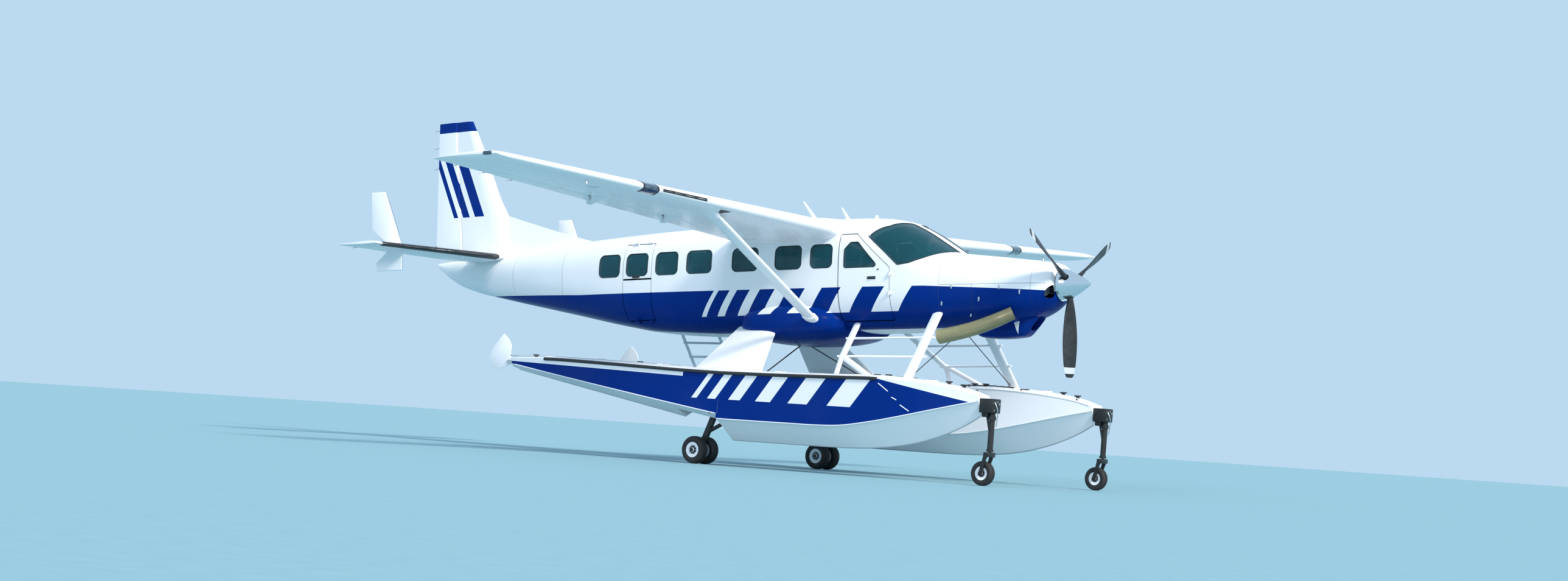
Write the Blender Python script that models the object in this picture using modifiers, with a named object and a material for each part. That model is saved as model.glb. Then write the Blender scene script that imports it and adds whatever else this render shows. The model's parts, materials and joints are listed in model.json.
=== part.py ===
"""Amphibious floatplane: turboprop nose, braced high wing, twin floats on wheels.

The model has two frames of its own. Airframe parts are drawn in the fuselage's frame:
x forward, y to port, z up from the propeller's thrust line. Float parts are drawn in a
level frame that shares the same origin, and the fuselage sits nose up in it.
"""
from math import cos, pi, radians, sin, sqrt, tan

import bmesh
import bpy
from mathutils import Matrix, Vector

# Attitude and gaps
THRUST_HEIGHT = 2.58
MID_SHIFT = 0.0917
NOSE_UP = radians(3.3)
SEAT = 0.0003
MOVING_GAP = 0.008
DOOR_GAP = 0.014
PIN_RADIUS = 0.008
PIN_PLAY = 0.0009
SMOOTH_ANGLE = radians(32)
SIDES = (("left", 1), ("right", -1))

# Fuselage, as stations: x, top, bottom, half width, squareness
HULL_STATIONS = (
    (4.20, 0.545, -0.600, 0.700, 2.60),
    (3.95, 0.700, -0.605, 0.740, 2.65),
    (3.70, 0.850, -0.605, 0.775, 2.75),
    (3.45, 0.975, -0.605, 0.800, 2.85),
    (3.20, 1.070, -0.605, 0.820, 2.95),
    (2.90, 1.110, -0.605, 0.835, 3.10),
    (2.40, 1.128, -0.605, 0.845, 3.20),
    (1.00, 1.128, -0.605, 0.845, 3.20),
    (-0.20, 1.105, -0.590, 0.840, 3.15),
    (-1.20, 1.075, -0.530, 0.820, 3.05),
    (-2.00, 1.040, -0.405, 0.780, 2.90),
    (-2.60, 1.010, -0.290, 0.725, 2.75),
    (-3.00, 0.985, -0.210, 0.680, 2.65),
)
TAIL_STATIONS = (
    (-3.00, 0.985, -0.210, 0.680, 2.65),
    (-3.60, 0.940, -0.095, 0.590, 2.50),
    (-4.20, 0.890, 0.020, 0.480, 2.35),
    (-4.80, 0.850, 0.140, 0.360, 2.25),
    (-5.30, 0.825, 0.245, 0.250, 2.15),
    (-5.70, 0.810, 0.370, 0.165, 2.10),
    (-6.00, 0.795, 0.520, 0.100, 2.05),
    (-6.26, 0.770, 0.700, 0.035, 2.00),
)
COWL_STATIONS = (
    (4.2003, 0.545, -0.600, 0.700, 2.60),
    (4.60, 0.500, -0.595, 0.665, 2.50),
    (5.00, 0.455, -0.560, 0.610, 2.45),
    (5.35, 0.412, -0.490, 0.540, 2.35),
    (5.62, 0.375, -0.395, 0.460, 2.25),
    (5.78, 0.350, -0.300, 0.395, 2.15),
    (5.86, 0.325, -0.215, 0.335, 2.10),
)
HULL_POINTS = 24
BELLY_POINTS = 16
CHIN_POINTS = 12
WALL = 0.045
COWL_WALL = 0.030

# Doors and windows, in side view
SILL_Z = 0.334
HEAD_Z = 0.690
WINDOW_EDGES = ((-2.149, 0.44), (-0.968, 0.44), (-0.351, 0.487), (0.532, 0.487), (1.341, 0.487),
                (1.995, 0.395))
WINDOW_CORNER = 0.08
AIRSTAIR_WINDOW_X = -1.571
CARGO_WINDOWS_X = (-1.571, -0.968)
DOOR_WINDOW_WIDTH = 0.44
WINDSHIELD_OUTLINE = ((4.17, 0.543), (3.50, 0.351), (2.872, 0.781), (3.02, 1.00), (3.16, 1.30), (4.6, 1.30),
                      (4.6, 0.66))
CREW_DOOR = ((2.49, -0.47), (3.40, -0.47), (3.40, 0.311), (2.63, 0.84), (2.49, 0.84))
CREW_WINDOW = ((2.60, 0.335), (3.17, 0.335), (2.735, 0.70), (2.60, 0.70))
AIRSTAIR_X = (-1.645, -1.045)
CARGO_X = (-1.685, -0.445)
DOOR_SPLIT_Z = 0.285
DOOR_TOP_Z = 0.850
DOOR_FOOT_Z = -0.360
HINGE_STAND = 0.026
HINGE_LUG = 0.016
CREW_REAR_GAP = 0.024
CABIN_FLOOR_Z = -0.40
SEAT_X = (2.45, 1.45, 0.65, -0.15, -0.95)
SEAT_Y = 0.36
SEAT_HALF = 0.20
RAIL_X = (-1.35, 3.05)
RAIL_Y = (0.38, 0.42)

# Propeller and engine
THRUST_Z = 0.030
PROP_RADIUS = 1.345
BLADES = 3
HUB_X = 6.0
SPINNER_BASE_X = 5.885
SPINNER_TIP_X = 6.340
SPINNER_RADIUS = 0.235
SPINNER_WALL = 0.012
# shares of the spinner's length, from its tip, and the power of its ogive
SPINNER_SHARES = (1, 0.9, 0.72, 0.5, 0.25, 0)
SPINNER_POWER = 0.72
SHAFT_RADIUS = 0.040
SHAFT_BORE = 0.0405
SHAFT_ROOM = 0.115
ENGINE_PROFILE = ((1.38, 0), (1.38, 0.15), (1.05, 0.17), (0.95, 0.24), (0.25, 0.24), (0, 0.20), (0, 0))
# distance ahead of the blades' plane, and radius
HUB_PROFILE = ((0.13, 0), (0.13, 0.06), (0.10, 0.10), (-0.1152, 0.11), (-0.1155, 0.2225), (-0.1297, 0.2225),
               (-0.130, SHAFT_RADIUS), (-0.50, SHAFT_RADIUS), (-0.50, 0))
# radius, chord, thickness share, pitch in degrees
BLADE_SECTIONS = ((0.05, 0.080, 1.00, 75), (0.19, 0.080, 1.00, 75), (0.30, 0.115, 0.60, 62),
                  (0.50, 0.175, 0.22, 50), (0.80, 0.225, 0.13, 38), (1.10, 0.215, 0.09, 30),
                  (1.28, 0.165, 0.07, 26), (PROP_RADIUS, 0.090, 0.06, 24))
BLADE_POINTS = 10

# Intakes and exhaust
NOSTRIL = (0.215, 0.085)
NOSTRIL_RADIUS = 0.088
CHIN_STATIONS = ((5.52, -0.34, -0.485, 0.13, 2.6), (5.40, -0.34, -0.60, 0.165, 3.0),
                 (5.26, -0.34, -0.705, 0.195, 3.4), (4.60, -0.34, -0.690, 0.215, 3.4),
                 (4.40, -0.34, -0.60, 0.20, 2.8))
MOUTH_STATIONS = ((5.60, -0.375, -0.60, 0.15, 3.0), (5.20, -0.40, -0.66, 0.15, 3.0),
                  (4.95, -0.40, -0.65, 0.14, 3.0))
EXHAUST_PATH = ((5.46, -0.42, -0.36), (5.36, -0.56, -0.43), (5.14, -0.66, -0.53), (4.85, -0.72, -0.61),
                (4.55, -0.745, -0.68), (4.26, -0.755, -0.74))
EXHAUST_RADII = (0.070, 0.085, 0.090, 0.090, 0.088, 0.088)
EXHAUST_WALL = 0.008
BELLY_STATIONS = ((2.62, -0.42, -0.60, 0.50, 2.4), (2.35, -0.20, -0.735, 0.80, 2.6),
                  (1.90, -0.12, -0.810, 0.90, 2.8), (1.20, -0.12, -0.800, 0.90, 2.8),
                  (0.75, -0.20, -0.700, 0.82, 2.6), (0.50, -0.42, -0.60, 0.50, 2.4))

# Wing
SEMI_SPAN = 7.93
ROOT_Y = 0.80
ROOT_CHORD = 1.98
TIP_CHORD = 1.12
ROOT_LE_X = 2.46
TIP_LE_X = 1.93
ROOT_Z = 0.885
DIHEDRAL = radians(3.0)
ROOT_INCIDENCE = radians(2.0)
ROOT_THICKNESS = 0.170
TIP_THICKNESS = 0.120
HINGE_SHARE = 0.74
FLAP_Y = (0.98, 5.48)
AILERON_Y = (5.56, 7.50)
FLAP_HINGE_DROP = 0.150
FOIL_STEPS = 7
FOIL_EDGE = 0.002

# Tail
TAIL_Z = 0.800
TAIL_SEMI_SPAN = 3.125
TAIL_ROOT = (-4.52, 1.34)
TAIL_TIP = (-4.80, 0.84)
TAIL_THICKNESS = 0.105
ELEVATOR_Y = (0.30, 3.00)
ELEVATOR_NOSE = 0.040
ELEVATOR_SHARE = 0.62
FINLET_Y = 2.34
FINLET_THICKNESS = 0.030
FINLET = ((-4.93, 0.80), (-5.326, 1.706), (-5.637, 1.706), (-5.60, 1.10), (-5.26, 0.87), (-5.26, 0.73),
          (-5.50, 0.55), (-5.462, 0.425), (-4.922, 0.425))
FIN_TOP_Z = 3.158
RUDDER_FOOT_Z = 0.875
FIN_HALF_THICKNESS = 0.075
RUDDER_HINGE = ((-5.74, 0.875), (-5.97, 3.158))
RUDDER_NOSE = 0.042
RUDDER_REAR_X = -6.340
FIN_LEADING = ((0.70, -4.45, 0.085), (1.20, -4.62, 0.085), (1.514, -4.743, 0.083), (1.797, -4.92, 0.080),
               (2.693, -5.345, 0.062), (FIN_TOP_Z, -5.595, 0.045))

# Struts of the wing and of the floats, port side
WING_STRUT = ((2.06, 0.70, -0.52), (1.98, 3.50, 1.02))
WING_STRUT_SIZE = (0.21, 0.075)
FRONT_STRUT = ((4.20, 0.58, -0.37), (4.27, 1.55, -1.20))
FRONT_STRUT_SIZE = (0.19, 0.060)
LADDER_TOP = (2.81, 0.60, -0.55)
LADDER_KNEE = (3.06, 1.42, -1.03)
LADDER_FOOT = (3.12, 1.60, -1.20)
BRACE_FOOT = (3.78, 1.60, -1.20)
LADDER_THICKNESS = 0.045
# share of the way down the ladder strut, and down the front strut
STEPS = (("upper_step", 0.48, 0.345), ("lower_step", 0.95, 0.615))
STEP_RADIUS = 0.017
STEP_ENDS = (0.08, 0.30)
# front x, rear x, y and z of the rear fairings
REAR_STRUT = ((1.32, 0.60, 0.70, -0.50), (1.72, 0.37, 1.66, -1.28))
REAR_LEAN = (0.036, 0.027)
# shares of the chord and of the thickness
REAR_SECTION = ((0, 0.002), (0.05, 0.5), (0.25, 1.0), (0.55, 0.8), (1.0, 0.05), (1.0, -0.05), (0.55, -0.8),
                (0.25, -1.0), (0.05, -0.5))

# Floats, as stations in the level frame: x, deck edge z, deck crown, deck half width,
# chine z, chine half width, keel z
FLOAT_Y = 1.61
FORE_STATIONS = (
    (1.30, -1.200, 0.050, 0.420, -1.885, 0.450, -2.185),
    (2.40, -1.190, 0.050, 0.420, -1.885, 0.450, -2.185),
    (3.43, -1.172, 0.050, 0.415, -1.872, 0.445, -2.178),
    (4.00, -1.162, 0.050, 0.400, -1.788, 0.425, -2.140),
    (4.50, -1.178, 0.045, 0.370, -1.680, 0.385, -2.060),
    (4.95, -1.212, 0.040, 0.315, -1.570, 0.320, -1.930),
    (5.35, -1.262, 0.030, 0.240, -1.470, 0.235, -1.760),
    (5.64, -1.330, 0.020, 0.160, -1.400, 0.150, -1.590),
)
AFT_STATIONS = (
    (-3.03, -1.150, 0.015, 0.120, -1.233, 0.110, -1.301),
    (-2.20, -1.128, 0.030, 0.230, -1.343, 0.225, -1.440),
    (-1.20, -1.145, 0.040, 0.330, -1.476, 0.340, -1.608),
    (-0.20, -1.170, 0.050, 0.395, -1.610, 0.415, -1.776),
    (0.60, -1.190, 0.050, 0.415, -1.716, 0.445, -1.910),
    (1.30, -1.200, 0.050, 0.420, -1.809, 0.450, -2.027),
)
WELL_X = (0.42, 1.16)
WELL_HALF = 0.23
WELL_TOP_Z = -1.560
MAIN_AXLE = (0.72, -2.375)
MAIN_RADIUS = 0.205
MAIN_WIDTH = 0.150
MAIN_HALF_TRACK = 0.135
MAIN_PIVOT = (1.02, -1.66)
NOSE_RADIUS = 0.173
NOSE_WIDTH = 0.125
NOSE_AXLE = (5.70, -2.407)
NOSE_STEM_X = 5.79
NOSE_STEM_Z = (-2.10, -1.95)
NOSE_BOX = ((5.6403, -0.11, -1.56), (5.86, 0.11, -1.36))
NOSE_TUBE = ((5.80, -1.45), 0.042)
STEM_RADIUS = 0.020
NOSE_PIN_RADIUS = 0.012
FORK_ARM = (0.03, 0.0095)
MAIN_PIN_RADIUS = 0.022
MAIN_SHAFT_RADIUS = 0.035
ARM_CORNERS = ((0.05, -0.04, 0.02), (0.05, 0.04, 0.02), (-0.05, 0.04, -0.02), (-0.05, -0.04, -0.02))
POST_RADIUS = 0.014
POST_Z = (-1.28, -1.10)
BRACKET_Z = ((-1.262, -1.245), (-1.165, -1.145))
WATER_PIVOT = (-3.180, -1.210)
WATER_STEER_X = -3.085
WATER_OUTLINE = ((-3.326, -0.765), (-3.45, -0.90), (-3.55, -1.02), (-3.600, -1.138), (-3.575, -1.24),
                 (-3.48, -1.31), (-3.36, -1.322), (-3.26, -1.29), (-3.150, -1.25), (-3.135, -1.21),
                 (-3.150, -1.15), (-3.165, -1.05), (-3.150, -0.960), (-3.21, -0.86))

# Colours
WHITE = (0.86, 0.88, 0.90)
BLUE = (0.020, 0.075, 0.33)
BLACK = (0.02, 0.02, 0.022)
CHROME = (0.80, 0.82, 0.85)
GLASS = (0.05, 0.10, 0.13)
GREY = (0.35, 0.36, 0.38)
BRONZE = (0.45, 0.33, 0.19)
SILVER = (0.62, 0.64, 0.66)
TAN = (0.50, 0.44, 0.36)

for old in list(bpy.data.objects):
    bpy.data.objects.remove(old)

parts = bpy.data.collections.new("floatplane")
cutters = bpy.data.collections.new("cutters")
bpy.context.scene.collection.children.link(parts)
bpy.context.scene.collection.children.link(cutters)

level = bpy.data.objects.new("level_frame", None)
level.location = (MID_SHIFT, 0, THRUST_HEIGHT)
airframe = bpy.data.objects.new("airframe", None)
airframe.parent = level
airframe.rotation_euler = (0, -NOSE_UP, 0)
for empty in (level, airframe):
    parts.objects.link(empty)


# Frames and materials

def to_level(x, y, z):
    """A point of the fuselage's frame, in the level frame."""
    return Vector((x * cos(NOSE_UP) - z * sin(NOSE_UP), y, x * sin(NOSE_UP) + z * cos(NOSE_UP)))


def to_air(x, y, z):
    """A point of the level frame, in the fuselage's frame."""
    return Vector((x * cos(NOSE_UP) + z * sin(NOSE_UP), y, z * cos(NOSE_UP) - x * sin(NOSE_UP)))


def finish(part, colour, roughness, metallic, alpha=1.0):
    """Give a part its own material."""
    material = bpy.data.materials.new(part.name + "_finish")
    material.use_nodes = True
    shader = material.node_tree.nodes["Principled BSDF"]
    shader.inputs["Base Color"].default_value = (*colour, 1)
    shader.inputs["Roughness"].default_value = roughness
    shader.inputs["Metallic"].default_value = metallic
    shader.inputs["Alpha"].default_value = alpha
    part.data.materials.append(material)
    return part


def paint(part, colour):
    return finish(part, colour, 0.25, 0.0)


# Mesh helpers

def add_mesh(name, shape, parent, collection=parts):
    """Make an object from a bmesh drawn in the parent's frame."""
    bmesh.ops.recalc_face_normals(shape, faces=shape.faces[:])
    mesh = bpy.data.meshes.new(name)
    shape.to_mesh(mesh)
    shape.free()
    mesh.shade_smooth()
    mesh.set_sharp_from_angle(angle=SMOOTH_ANGLE)
    made = bpy.data.objects.new(name, mesh)
    made.parent = parent
    collection.objects.link(made)
    if collection is cutters:
        made.hide_render = True
        made.display_type = "WIRE"
    return made


def loft(name, rings, parent, collection=parts):
    """Skin a row of rings that have equal numbers of points, and cap both ends."""
    shape = bmesh.new()
    rows = [[shape.verts.new(point) for point in ring] for ring in rings]
    for near, far in zip(rows, rows[1:]):
        for i in range(len(near)):
            j = (i + 1) % len(near)
            shape.faces.new((near[i], near[j], far[j]))
            shape.faces.new((near[i], far[j], far[i]))
    shape.faces.new(rows[0])
    shape.faces.new(rows[-1])
    return add_mesh(name, shape, parent, collection)


def from_curve(name, curve, turn, parent, collection):
    """Turn a filled curve into a closed mesh and move it to its place."""
    drawn = bpy.data.objects.new(name + "_curve", curve)
    mesh = bpy.data.meshes.new_from_object(drawn)
    shape = bmesh.new()
    shape.from_mesh(mesh)
    bmesh.ops.remove_doubles(shape, verts=shape.verts[:], dist=0.00001)
    bmesh.ops.transform(shape, matrix=turn, verts=shape.verts[:])
    bpy.data.objects.remove(drawn)
    bpy.data.curves.remove(curve)
    bpy.data.meshes.remove(mesh)
    return add_mesh(name, shape, parent, collection)


def prism(name, outline, y0, y1, parent, collection=parts):
    """Extrude an x, z outline from y0 to y1."""
    rings = [[Vector((x, y, z)) for x, z in outline] for y in (y0, y1)]
    return loft(name, rings, parent, collection)


def box(name, low, high, parent, collection=parts):
    """A plain box between two corners."""
    shape = bmesh.new()
    low, high = Vector(low), Vector(high)
    bmesh.ops.create_cube(shape, size=1.0)
    bmesh.ops.scale(shape, vec=high - low, verts=shape.verts)
    bmesh.ops.translate(shape, vec=(high + low) / 2, verts=shape.verts)
    return add_mesh(name, shape, parent, collection)


def rod(name, start, end, radius, parent, collection=parts, sides=12, end_radius=None):
    """A round bar between two points."""
    start, end = Vector(start), Vector(end)
    way = end - start
    shape = bmesh.new()
    bmesh.ops.create_cone(shape, cap_ends=True, segments=sides, radius1=radius,
                          radius2=radius if end_radius is None else end_radius, depth=way.length)
    turn = Vector((0, 0, 1)).rotation_difference(way).to_matrix().to_4x4()
    bmesh.ops.transform(shape, matrix=Matrix.Translation((start + end) / 2) @ turn, verts=shape.verts)
    return add_mesh(name, shape, parent, collection)


def turned(name, profile, centre, axis, parent, collection=parts, sides=28):
    """Turn a profile of (distance along the axis, radius) pairs, top to bottom, about an axis."""
    shape = bmesh.new()
    points = [shape.verts.new((radius, 0, along)) for along, radius in profile]
    for upper, lower in zip(points, points[1:]):
        shape.edges.new((upper, lower))
    made = add_mesh(name, shape, parent, collection)
    made.location = centre
    toward = Vector(axis)
    down = Vector((0, 0, -1))
    made.rotation_euler = Matrix((down, toward.cross(down), toward)).transposed().to_euler()
    screw = made.modifiers.new("turn", "SCREW")
    screw.steps = sides
    screw.render_steps = sides
    screw.use_merge_vertices = True
    screw.merge_threshold = 0.00001
    screw.use_smooth_shade = True
    return made


def pipe(name, points, radii, parent, collection=parts):
    """A round pipe of changing radius through a row of points."""
    curve = bpy.data.curves.new(name, "CURVE")
    curve.dimensions = "3D"
    curve.bevel_depth = 1.0
    curve.bevel_resolution = 5
    curve.use_fill_caps = True
    line = curve.splines.new("POLY")
    line.points.add(len(points) - 1)
    for point, place, radius in zip(line.points, points, radii):
        point.co = (*place, 1)
        point.radius = radius
    return from_curve(name, curve, Matrix(), parent, collection)


def change(part, other, operation):
    """Cut, join or keep in common, with an exact Boolean."""
    step = part.modifiers.new(operation.lower(), "BOOLEAN")
    step.operation = operation
    step.object = other
    step.solver = "EXACT"


def cut(part, *others):
    for other in others:
        change(part, other, "DIFFERENCE")


def join(part, *others):
    for other in others:
        change(part, other, "UNION")


def keep(part, *others):
    for other in others:
        change(part, other, "INTERSECT")


def set_origin(part, at):
    """Move a part's origin onto its joint's axis and leave its shape where it is."""
    at = Vector(at)
    part.data.transform(Matrix.Translation(-at))
    part.location = at


def lug(name, at, root, axis, shift):
    """A flat hinge lug from the pin to its root, a little way along the pin."""
    half = HINGE_LUG / 2
    shifted = at + axis * shift
    way = (root - at).normalized()
    lift = axis.cross(way) * 0.011
    rings = [[place + axis * shift + side * half * axis + up * lift for side, up in
              ((-1, -1), (-1, 1), (1, 1), (1, -1))] for place in (at - way * 0.004, root)]
    bar = loft(name, rings, airframe, cutters)
    eye = rod(name + "_eye", shifted - axis * half, shifted + axis * half, 0.014, airframe, cutters, 8)
    return bar, eye


def door_hinge(shell, door, number, at, axis, shell_root, door_root):
    """An outside hinge: a tongue and pin on the shell, and two ears on the door."""
    at, axis = Vector(at), Vector(axis).normalized()
    tag = "%s_hinge_%d" % (door.name, number)
    join(shell, *lug(tag + "_tongue", at, Vector(shell_root), axis, 0.0))
    step = HINGE_LUG + MOVING_GAP
    reach = step + HINGE_LUG / 2
    join(shell, rod(tag + "_pin", at - axis * reach, at + axis * reach, PIN_RADIUS, airframe, cutters, 8))
    for edge in (-1, 1):
        join(door, *lug(tag + "_ear_%d" % edge, at, Vector(door_root), axis, edge * step))
    end = axis * (reach + 0.002)
    cut(door, rod(tag + "_bore", at - end, at + end, PIN_RADIUS + PIN_PLAY, airframe, cutters, 8))


def knuckle(fixed, moving, at, axis, way, reach, nose, tongue=0.040):
    """A hinge: a tongue and pin on the fixed part, a notch and bore in the moving one."""
    at, axis, way = Vector(at), Vector(axis).normalized(), Vector(way).normalized()
    tag = moving.name + "_hinge"
    half = tongue / 2
    parent = fixed.parent
    slot = axis * (half + MOVING_GAP)
    end = axis * (half + MOVING_GAP + 0.022)
    cut(moving, rod(tag + "_notch", at - slot, at + slot, nose + MOVING_GAP, parent, cutters, 8))
    cut(moving, rod(tag + "_bore", at - end, at + end, PIN_RADIUS + PIN_PLAY, parent, cutters, 8))
    lift = axis.cross(way) * 0.014
    root = at + way * reach
    rings = [[place - lift - axis * half, place + lift - axis * half,
              place + lift + axis * half, place - lift + axis * half] for place in (at - way * 0.006, root)]
    join(fixed, loft(tag + "_tongue", rings, parent, cutters))
    end = axis * (half + MOVING_GAP + 0.020)
    join(fixed, rod(tag + "_pin", at - end, at + end, PIN_RADIUS, parent, cutters, 8))


# Fuselage

def hull_ring(station, grow=0.0, count=HULL_POINTS):
    """One rounded section of the fuselage, grown outward by a distance."""
    x, top, bottom, half, square = station
    middle = (top + bottom) / 2
    rise = (top - bottom) / 2 + grow
    half = half + grow
    ring = []
    for i in range(count):
        turn = 2 * pi * (i + 0.5) / count
        c, s = cos(turn), sin(turn)
        y = half * abs(c) ** (2 / square) * (1 if c > 0 else -1)
        z = rise * abs(s) ** (2 / square) * (1 if s > 0 else -1)
        ring.append(Vector((x, y, middle + z)))
    return ring


def at_station(stations, x):
    """The station at any x, between the two that stand beside it."""
    for a, b in zip(stations, stations[1:]):
        if min(a[0], b[0]) <= x <= max(a[0], b[0]):
            share = (x - a[0]) / (b[0] - a[0])
            return tuple(p + (q - p) * share for p, q in zip(a, b))
    raise ValueError("no station at %f" % x)


def hull_half_width(stations, x, z):
    """The fuselage's half width at a height."""
    x, top, bottom, half, square = at_station(stations, x)
    share = abs(z - (top + bottom) / 2) / ((top - bottom) / 2)
    return half * (1 - share ** square) ** (1 / square)


def hull(name, stations, grow, x_front, x_rear, parent, collection):
    """A closed hull between two x, grown or shrunk by a distance."""
    inner = [s for s in stations if x_rear < s[0] < x_front]
    used = [at_station(stations, x_front)] + inner + [at_station(stations, x_rear)]
    return loft(name, [hull_ring(s, grow) for s in used], parent, collection)


def rounded(x0, x1, z0, z1, radius, steps=2):
    """A rectangle with round corners, as an x, z outline."""
    outline = []
    for cx, cz, start in ((x1 - radius, z1 - radius, 0), (x0 + radius, z1 - radius, 90),
                          (x0 + radius, z0 + radius, 180), (x1 - radius, z0 + radius, 270)):
        for i in range(steps + 1):
            turn = radians(start + 90 * i / steps)
            outline.append((cx + radius * cos(turn), cz + radius * sin(turn)))
    return outline


def inset(outline, distance):
    """An outline with every edge moved inward."""
    area = sum(a[0] * b[1] - b[0] * a[1] for a, b in zip(outline, outline[1:] + outline[:1]))
    sign = 1 if area > 0 else -1
    result = []
    count = len(outline)
    for i in range(count):
        before, here, after = (Vector(outline[(i + k) % count]) for k in (-1, 0, 1))
        d0, d1 = (here - before).normalized(), (after - here).normalized()
        n0, n1 = Vector((-d0.y, d0.x)) * sign, Vector((-d1.y, d1.x)) * sign
        bisector = (n0 + n1) / (1 + n0.dot(n1))
        result.append(tuple(here + bisector * distance))
    return result


def skin_guide(name, stations):
    """The fuselage's skin grown by the seat gap, ends included, to cut what stands on it."""
    rings = [hull_ring(s, SEAT) for s in stations]
    ahead = SEAT * 0.7 if stations[0][0] > stations[-1][0] else -SEAT * 0.7
    for ring, shift in ((rings[0], ahead), (rings[-1], -ahead)):
        for point in ring:
            point.x += shift
    return loft(name, rings, airframe, cutters)


front_x, rear_x = HULL_STATIONS[0][0], HULL_STATIONS[-1][0]
cabin = hull("cabin_shell", HULL_STATIONS, 0.0, front_x, rear_x, airframe, parts)
hollow = hull("cabin_hollow", HULL_STATIONS, -WALL, front_x - WALL, rear_x + WALL, airframe, cutters)
cut(cabin, hollow)
hull_skin = skin_guide("hull_skin", HULL_STATIONS)

panes = [rounded(x, x + width, SILL_Z, HEAD_Z, WINDOW_CORNER) for x, width in WINDOW_EDGES]
for number, outline in enumerate(panes):
    # the second window from the rear is in the cargo door on the port side
    far_y = 0.0 if number == 1 else 1.2
    cut(cabin, prism("window_cut_%d" % number, outline, -1.2, far_y, airframe, cutters))


def shell_panel(name, outline, y0, y1, gap):
    """A panel of the cabin's wall inside an outline, and the hole that it leaves."""
    panel = hull(name, HULL_STATIONS, 0.0, front_x, rear_x, airframe, parts)
    cut(panel, hollow)
    keep(panel, prism(name + "_edge", inset(list(outline), gap), y0, y1, airframe, cutters))
    cut(cabin, prism(name + "_hole", outline, y0, y1, airframe, cutters))
    return panel


def rectangle(x0, x1, z0, z1):
    return ((x0, z0), (x1, z0), (x1, z1), (x0, z1))


windshield_front = hull("windshield", HULL_STATIONS, 0.0, front_x, rear_x, airframe, parts)
cut(windshield_front, hull("windshield_inside", HULL_STATIONS, -0.014, front_x - 0.002, rear_x + WALL,
                           airframe, cutters))
keep(windshield_front, prism("windshield_edge", inset(list(WINDSHIELD_OUTLINE), SEAT), -1.2, 1.2, airframe,
                             cutters))
cut(cabin, prism("windshield_hole", WINDSHIELD_OUTLINE, -1.2, 1.2, airframe, cutters))
finish(windshield_front, GLASS, 0.05, 0.0, 0.6)

for side, sign in SIDES:
    door = shell_panel("crew_door_" + side, CREW_DOOR, sign * 0.30, sign * 1.2, DOOR_GAP)
    rear_x0 = CREW_DOOR[0][0] - 0.1
    cut(door, box("crew_door_rear_" + side, (rear_x0, -1, -1), (CREW_DOOR[0][0] + CREW_REAR_GAP, 1, 1.2),
                  airframe, cutters))
    window = prism("crew_window_cut_" + side, CREW_WINDOW, sign * 0.2, sign * 1.3, airframe, cutters)
    cut(door, window)
    glass = hull("crew_window_" + side, HULL_STATIONS, -0.012, front_x, rear_x, airframe, parts)
    cut(glass, hull("crew_window_inside_" + side, HULL_STATIONS, -0.022, front_x - WALL, rear_x + WALL,
                    airframe, cutters))
    keep(glass, prism("crew_window_edge_" + side, inset(list(CREW_WINDOW), SEAT), sign * 0.3, sign * 1.2,
                      airframe, cutters))
    paint(door, WHITE)
    finish(glass, GLASS, 0.05, 0.0, 0.6)
    hinge_x = CREW_DOOR[1][0] + 0.010
    hinge_y = hull_half_width(HULL_STATIONS, hinge_x, 0.22) + HINGE_STAND
    for number, z in enumerate((-0.08, 0.20)):
        skin = hull_half_width(HULL_STATIONS, hinge_x, z) - 0.024
        door_hinge(cabin, door, number, (hinge_x, sign * hinge_y, z), (0, 0, 1),
                   (hinge_x + 0.045, sign * skin, z), (hinge_x - 0.060, sign * skin, z))
    set_origin(door, (hinge_x, sign * hinge_y, 0))

upper = shell_panel("airstair_upper", rectangle(*AIRSTAIR_X, DOOR_SPLIT_Z, DOOR_TOP_Z), -0.3, -1.2, DOOR_GAP)
outline = rounded(AIRSTAIR_WINDOW_X, AIRSTAIR_WINDOW_X + DOOR_WINDOW_WIDTH, SILL_Z, HEAD_Z, WINDOW_CORNER)
cut(upper, prism("airstair_window_cut", outline, -0.2, -1.3, airframe, cutters))
lower = shell_panel("airstair_lower", rectangle(*AIRSTAIR_X, DOOR_FOOT_Z, DOOR_SPLIT_Z), -0.3, -1.2, DOOR_GAP)
cargo_upper = shell_panel("cargo_door_upper", rectangle(*CARGO_X, DOOR_SPLIT_Z, DOOR_TOP_Z), 0.3, 1.2,
                          DOOR_GAP)
for number, x in enumerate(CARGO_WINDOWS_X):
    outline = rounded(x, x + DOOR_WINDOW_WIDTH, SILL_Z, HEAD_Z, WINDOW_CORNER)
    cut(cargo_upper, prism("cargo_window_cut_%d" % number, outline, 0.2, 1.3, airframe, cutters))
cargo_lower = shell_panel("cargo_door_lower", rectangle(*CARGO_X, DOOR_FOOT_Z, DOOR_SPLIT_Z), 0.3, 1.2,
                          DOOR_GAP)
leaves = ((upper, -1, AIRSTAIR_X, DOOR_TOP_Z, 1), (lower, -1, AIRSTAIR_X, DOOR_FOOT_Z, -1),
          (cargo_upper, 1, CARGO_X, DOOR_TOP_Z, 1), (cargo_lower, 1, CARGO_X, DOOR_FOOT_Z, -1))
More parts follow.
